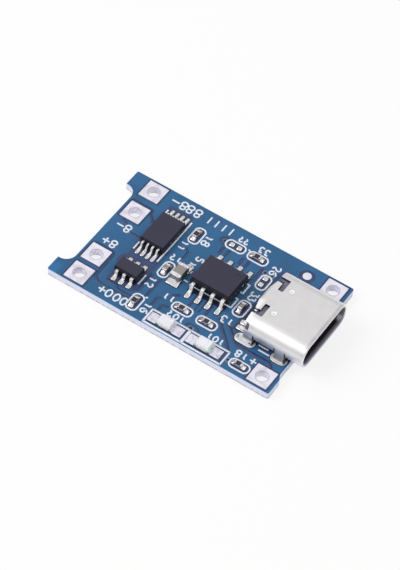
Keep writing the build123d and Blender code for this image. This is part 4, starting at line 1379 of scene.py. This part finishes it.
def floor_finish(look):
    """A plain pale floor that keeps the object's shadow."""
    finish = Finish("pale_floor")
    colour = finish.mix(finish.noise(40.0, 2.0), look.floor_color, scaled(look.floor_color, 0.99))
    lit = finish.node("ShaderNodeBsdfPrincipled", None, {"Base Color": colour, "Roughness": 0.9})
    white = finish.node("ShaderNodeEmission", None, {"Color": (1, 1, 1, 1), "Strength": 1.0})
    rays = finish.node("ShaderNodeLightPath")
    seen = finish.math("MAXIMUM", rays.out("Is Camera Ray"), rays.out("Is Glossy Ray"))
    inputs = {0: seen * look.floor_glow, 1: lit, 2: white}
    return finish.close(finish.node("ShaderNodeMixShader", None, inputs))


def make_world(look):
    """Soft even light, a little stronger overhead and at the near and far sides."""
    world = bpy.data.worlds.new("studio")
    world.use_nodes = True
    world.node_tree.nodes.clear()
    graph = Graph(world.node_tree)
    aim = graph.node("ShaderNodeTexCoord").out("Generated")
    overhead = graph.step(graph.part(aim, "Z"), -0.05, 0.75)
    near = graph.step(graph.part(aim, "Y"), 0.3, -0.7)
    far = graph.step(graph.part(aim, "Y"), 0.6, 0.9)
    sky = (overhead * 0.76 + near * 0.2 + far * 0.2 + 0.26) * look.sky_strength
    seen = graph.node("ShaderNodeLightPath").out("Is Camera Ray")
    inputs = {"Color": (1, 1, 1, 1), "Strength": seen + (1 - seen) * sky}
    shell = graph.node("ShaderNodeBackground", None, inputs)
    graph.node("ShaderNodeOutputWorld", None, {"Surface": shell})
    bpy.context.scene.world = world


def area_lamp(name, place, width, power):
    """A round lamp that is aimed at the board."""
    light = bpy.data.lights.new(name, "AREA")
    light.shape = "DISK"
    light.size = width
    light.energy = power
    lamp = show(name, light)
    lamp.location = place
    lamp.rotation_mode = "QUATERNION"
    lamp.rotation_quaternion = (-Vector(place)).to_track_quat("-Z", "Y")


def make_camera():
    """The photograph's own view."""
    data = bpy.data.cameras.new("photo_camera")
    data.sensor_width = 36
    data.lens = 155.59
    data.clip_start = 0.01
    data.clip_end = 10
    camera = show("photo_camera", data)
    turn = Matrix(CAMERA_AXES).transposed().to_4x4()
    camera.matrix_world = Matrix.Translation(CAMERA_PLACE) @ turn
    bpy.context.scene.camera = camera
    bpy.context.scene.view_settings.view_transform = "Standard"


# Add-on


class ChargerBoardLook(bpy.types.PropertyGroup):
    """Sizes and colours of the board's looks."""

    mask_color: FloatVectorProperty(
        name="Mask",
        description="Colour of the lacquer over copper",
        default=(0.02, 0.126, 0.295),
        **COLOUR,
    )
    etched_color: FloatVectorProperty(
        name="Etched mask",
        description="Colour of the lacquer where the copper is etched away",
        default=(0.03, 0.055, 0.145),
        **COLOUR,
    )
    print_color: FloatVectorProperty(
        name="Screen print",
        description="Colour of the printed outlines, numbers and signs",
        default=(0.88, 0.91, 0.98),
        **COLOUR,
    )
    print_width: FloatProperty(
        name="Print width", description="Width of a printed line", default=0.19 * MM, **LENGTH
    )
    pad_color: FloatVectorProperty(
        name="Pads", description="Colour of the tinned pads", default=(0.9, 0.88, 0.985), **COLOUR
    )
    pad_ease: FloatProperty(
        name="Pad edge", description="Rounding of the pads' edges", default=0.025 * MM, **LENGTH
    )
    steel_color: FloatVectorProperty(
        name="Shell",
        description="Colour of the socket's plated shell",
        default=(0.93, 0.915, 0.92),
        **COLOUR,
    )
    steel_roughness: FloatProperty(
        name="Shell roughness",
        description="How satin the shell is, from 0 for a mirror",
        default=0.34,
        **SHARE,
    )
    chip_color: FloatVectorProperty(
        name="Chips",
        description="Colour of the chips' mouldings",
        default=(0.022, 0.02, 0.042),
        **COLOUR,
    )
    floor_color: FloatVectorProperty(
        name="Floor", description="Colour of the floor", default=(0.97, 0.97, 0.97), **COLOUR
    )
    floor_glow: FloatProperty(
        name="Floor glow",
        description="How far the floor shows as plain white, from 0 for all its shadow",
        default=0.75,
        **SHARE,
    )
    sky_strength: FloatProperty(
        name="Sky",
        description="Strength of the studio's even light",
        default=0.72,
        subtype="FACTOR",
        min=0,
        max=2,
    )
    key_power: FloatProperty(
        name="Key lamp",
        description="Power of the large lamp on the near side",
        default=0.52,
        **POWER,
    )
    fill_power: FloatProperty(
        name="Fill lamp", description="Power of the lamp on the far side", default=0.2, **POWER
    )


class CHARGERBOARD_OT_board(bpy.types.Operator):
    """Finish the board: lacquer, etched lines, screen print and plugged holes"""

    bl_idname = "charger_board.board"
    bl_label = "Board"
    bl_options = {"REGISTER", "UNDO"}

    def execute(self, context):
        make_board(context.scene.charger_board_look)
        return {"FINISHED"}


class CHARGERBOARD_OT_wire_pads(bpy.types.Operator):
    """Make the tinned wire pads"""

    bl_idname = "charger_board.wire_pads"
    bl_label = "Wire pads"
    bl_options = {"REGISTER", "UNDO"}

    def execute(self, context):
        make_wire_pads(context.scene.charger_board_look)
        return {"FINISHED"}


class CHARGERBOARD_OT_socket(bpy.types.Operator):
    """Make the socket's shell and finish what is inside it"""

    bl_idname = "charger_board.socket"
    bl_label = "Socket"
    bl_options = {"REGISTER", "UNDO"}

    def execute(self, context):
        make_socket(context.scene.charger_board_look)
        return {"FINISHED"}


class CHARGERBOARD_OT_chips(bpy.types.Operator):
    """Make the three chips and their rows of leads"""

    bl_idname = "charger_board.chips"
    bl_label = "Chips"
    bl_options = {"REGISTER", "UNDO"}

    def execute(self, context):
        make_chips(context.scene.charger_board_look)
        return {"FINISHED"}


class CHARGERBOARD_OT_capped_parts(bpy.types.Operator):
    """Make the capacitors and resistors with their end caps and solder"""

    bl_idname = "charger_board.capped_parts"
    bl_label = "Capacitors and resistors"
    bl_options = {"REGISTER", "UNDO"}

    def execute(self, context):
        make_capped_parts(context.scene.charger_board_look)
        return {"FINISHED"}


class CHARGERBOARD_OT_lamps(bpy.types.Operator):
    """Make the two indicator lamps"""

    bl_idname = "charger_board.lamps"
    bl_label = "Indicator lamps"
    bl_options = {"REGISTER", "UNDO"}

    def execute(self, context):
        make_lamps(context.scene.charger_board_look)
        return {"FINISHED"}


class CHARGERBOARD_OT_stage(bpy.types.Operator):
    """Set the floor, the light and the camera"""

    bl_idname = "charger_board.stage"
    bl_label = "Studio"
    bl_options = {"REGISTER", "UNDO"}

    def execute(self, context):
        make_stage(context.scene.charger_board_look)
        return {"FINISHED"}


OPERATORS = (
    CHARGERBOARD_OT_board,
    CHARGERBOARD_OT_wire_pads,
    CHARGERBOARD_OT_socket,
    CHARGERBOARD_OT_chips,
    CHARGERBOARD_OT_capped_parts,
    CHARGERBOARD_OT_lamps,
    CHARGERBOARD_OT_stage,
)


class CHARGERBOARD_PT_sidebar(bpy.types.Panel):
    """The board's looks and the buttons that make its pieces"""

    bl_label = "Charger board"
    bl_space_type = "VIEW_3D"
    bl_region_type = "UI"
    bl_category = "Charger board"

    def draw(self, context):
        look = context.scene.charger_board_look
        column = self.layout.column()
        for name in ChargerBoardLook.__annotations__:
            column.prop(look, name)
        for operator in OPERATORS:
            column.operator(operator.bl_idname)


CLASSES = (ChargerBoardLook, *OPERATORS, CHARGERBOARD_PT_sidebar)


def register():
    for one in CLASSES:
        bpy.utils.register_class(one)
    bpy.types.Scene.charger_board_look = PointerProperty(type=ChargerBoardLook)


def unregister():
    del bpy.types.Scene.charger_board_look
    for one in reversed(CLASSES):
        bpy.utils.unregister_class(one)


def main():
    register()
    for operator in OPERATORS:
        group, name = operator.bl_idname.split(".")
        getattr(getattr(bpy.ops, group), name)()


if __name__ == "__main__":
    main()
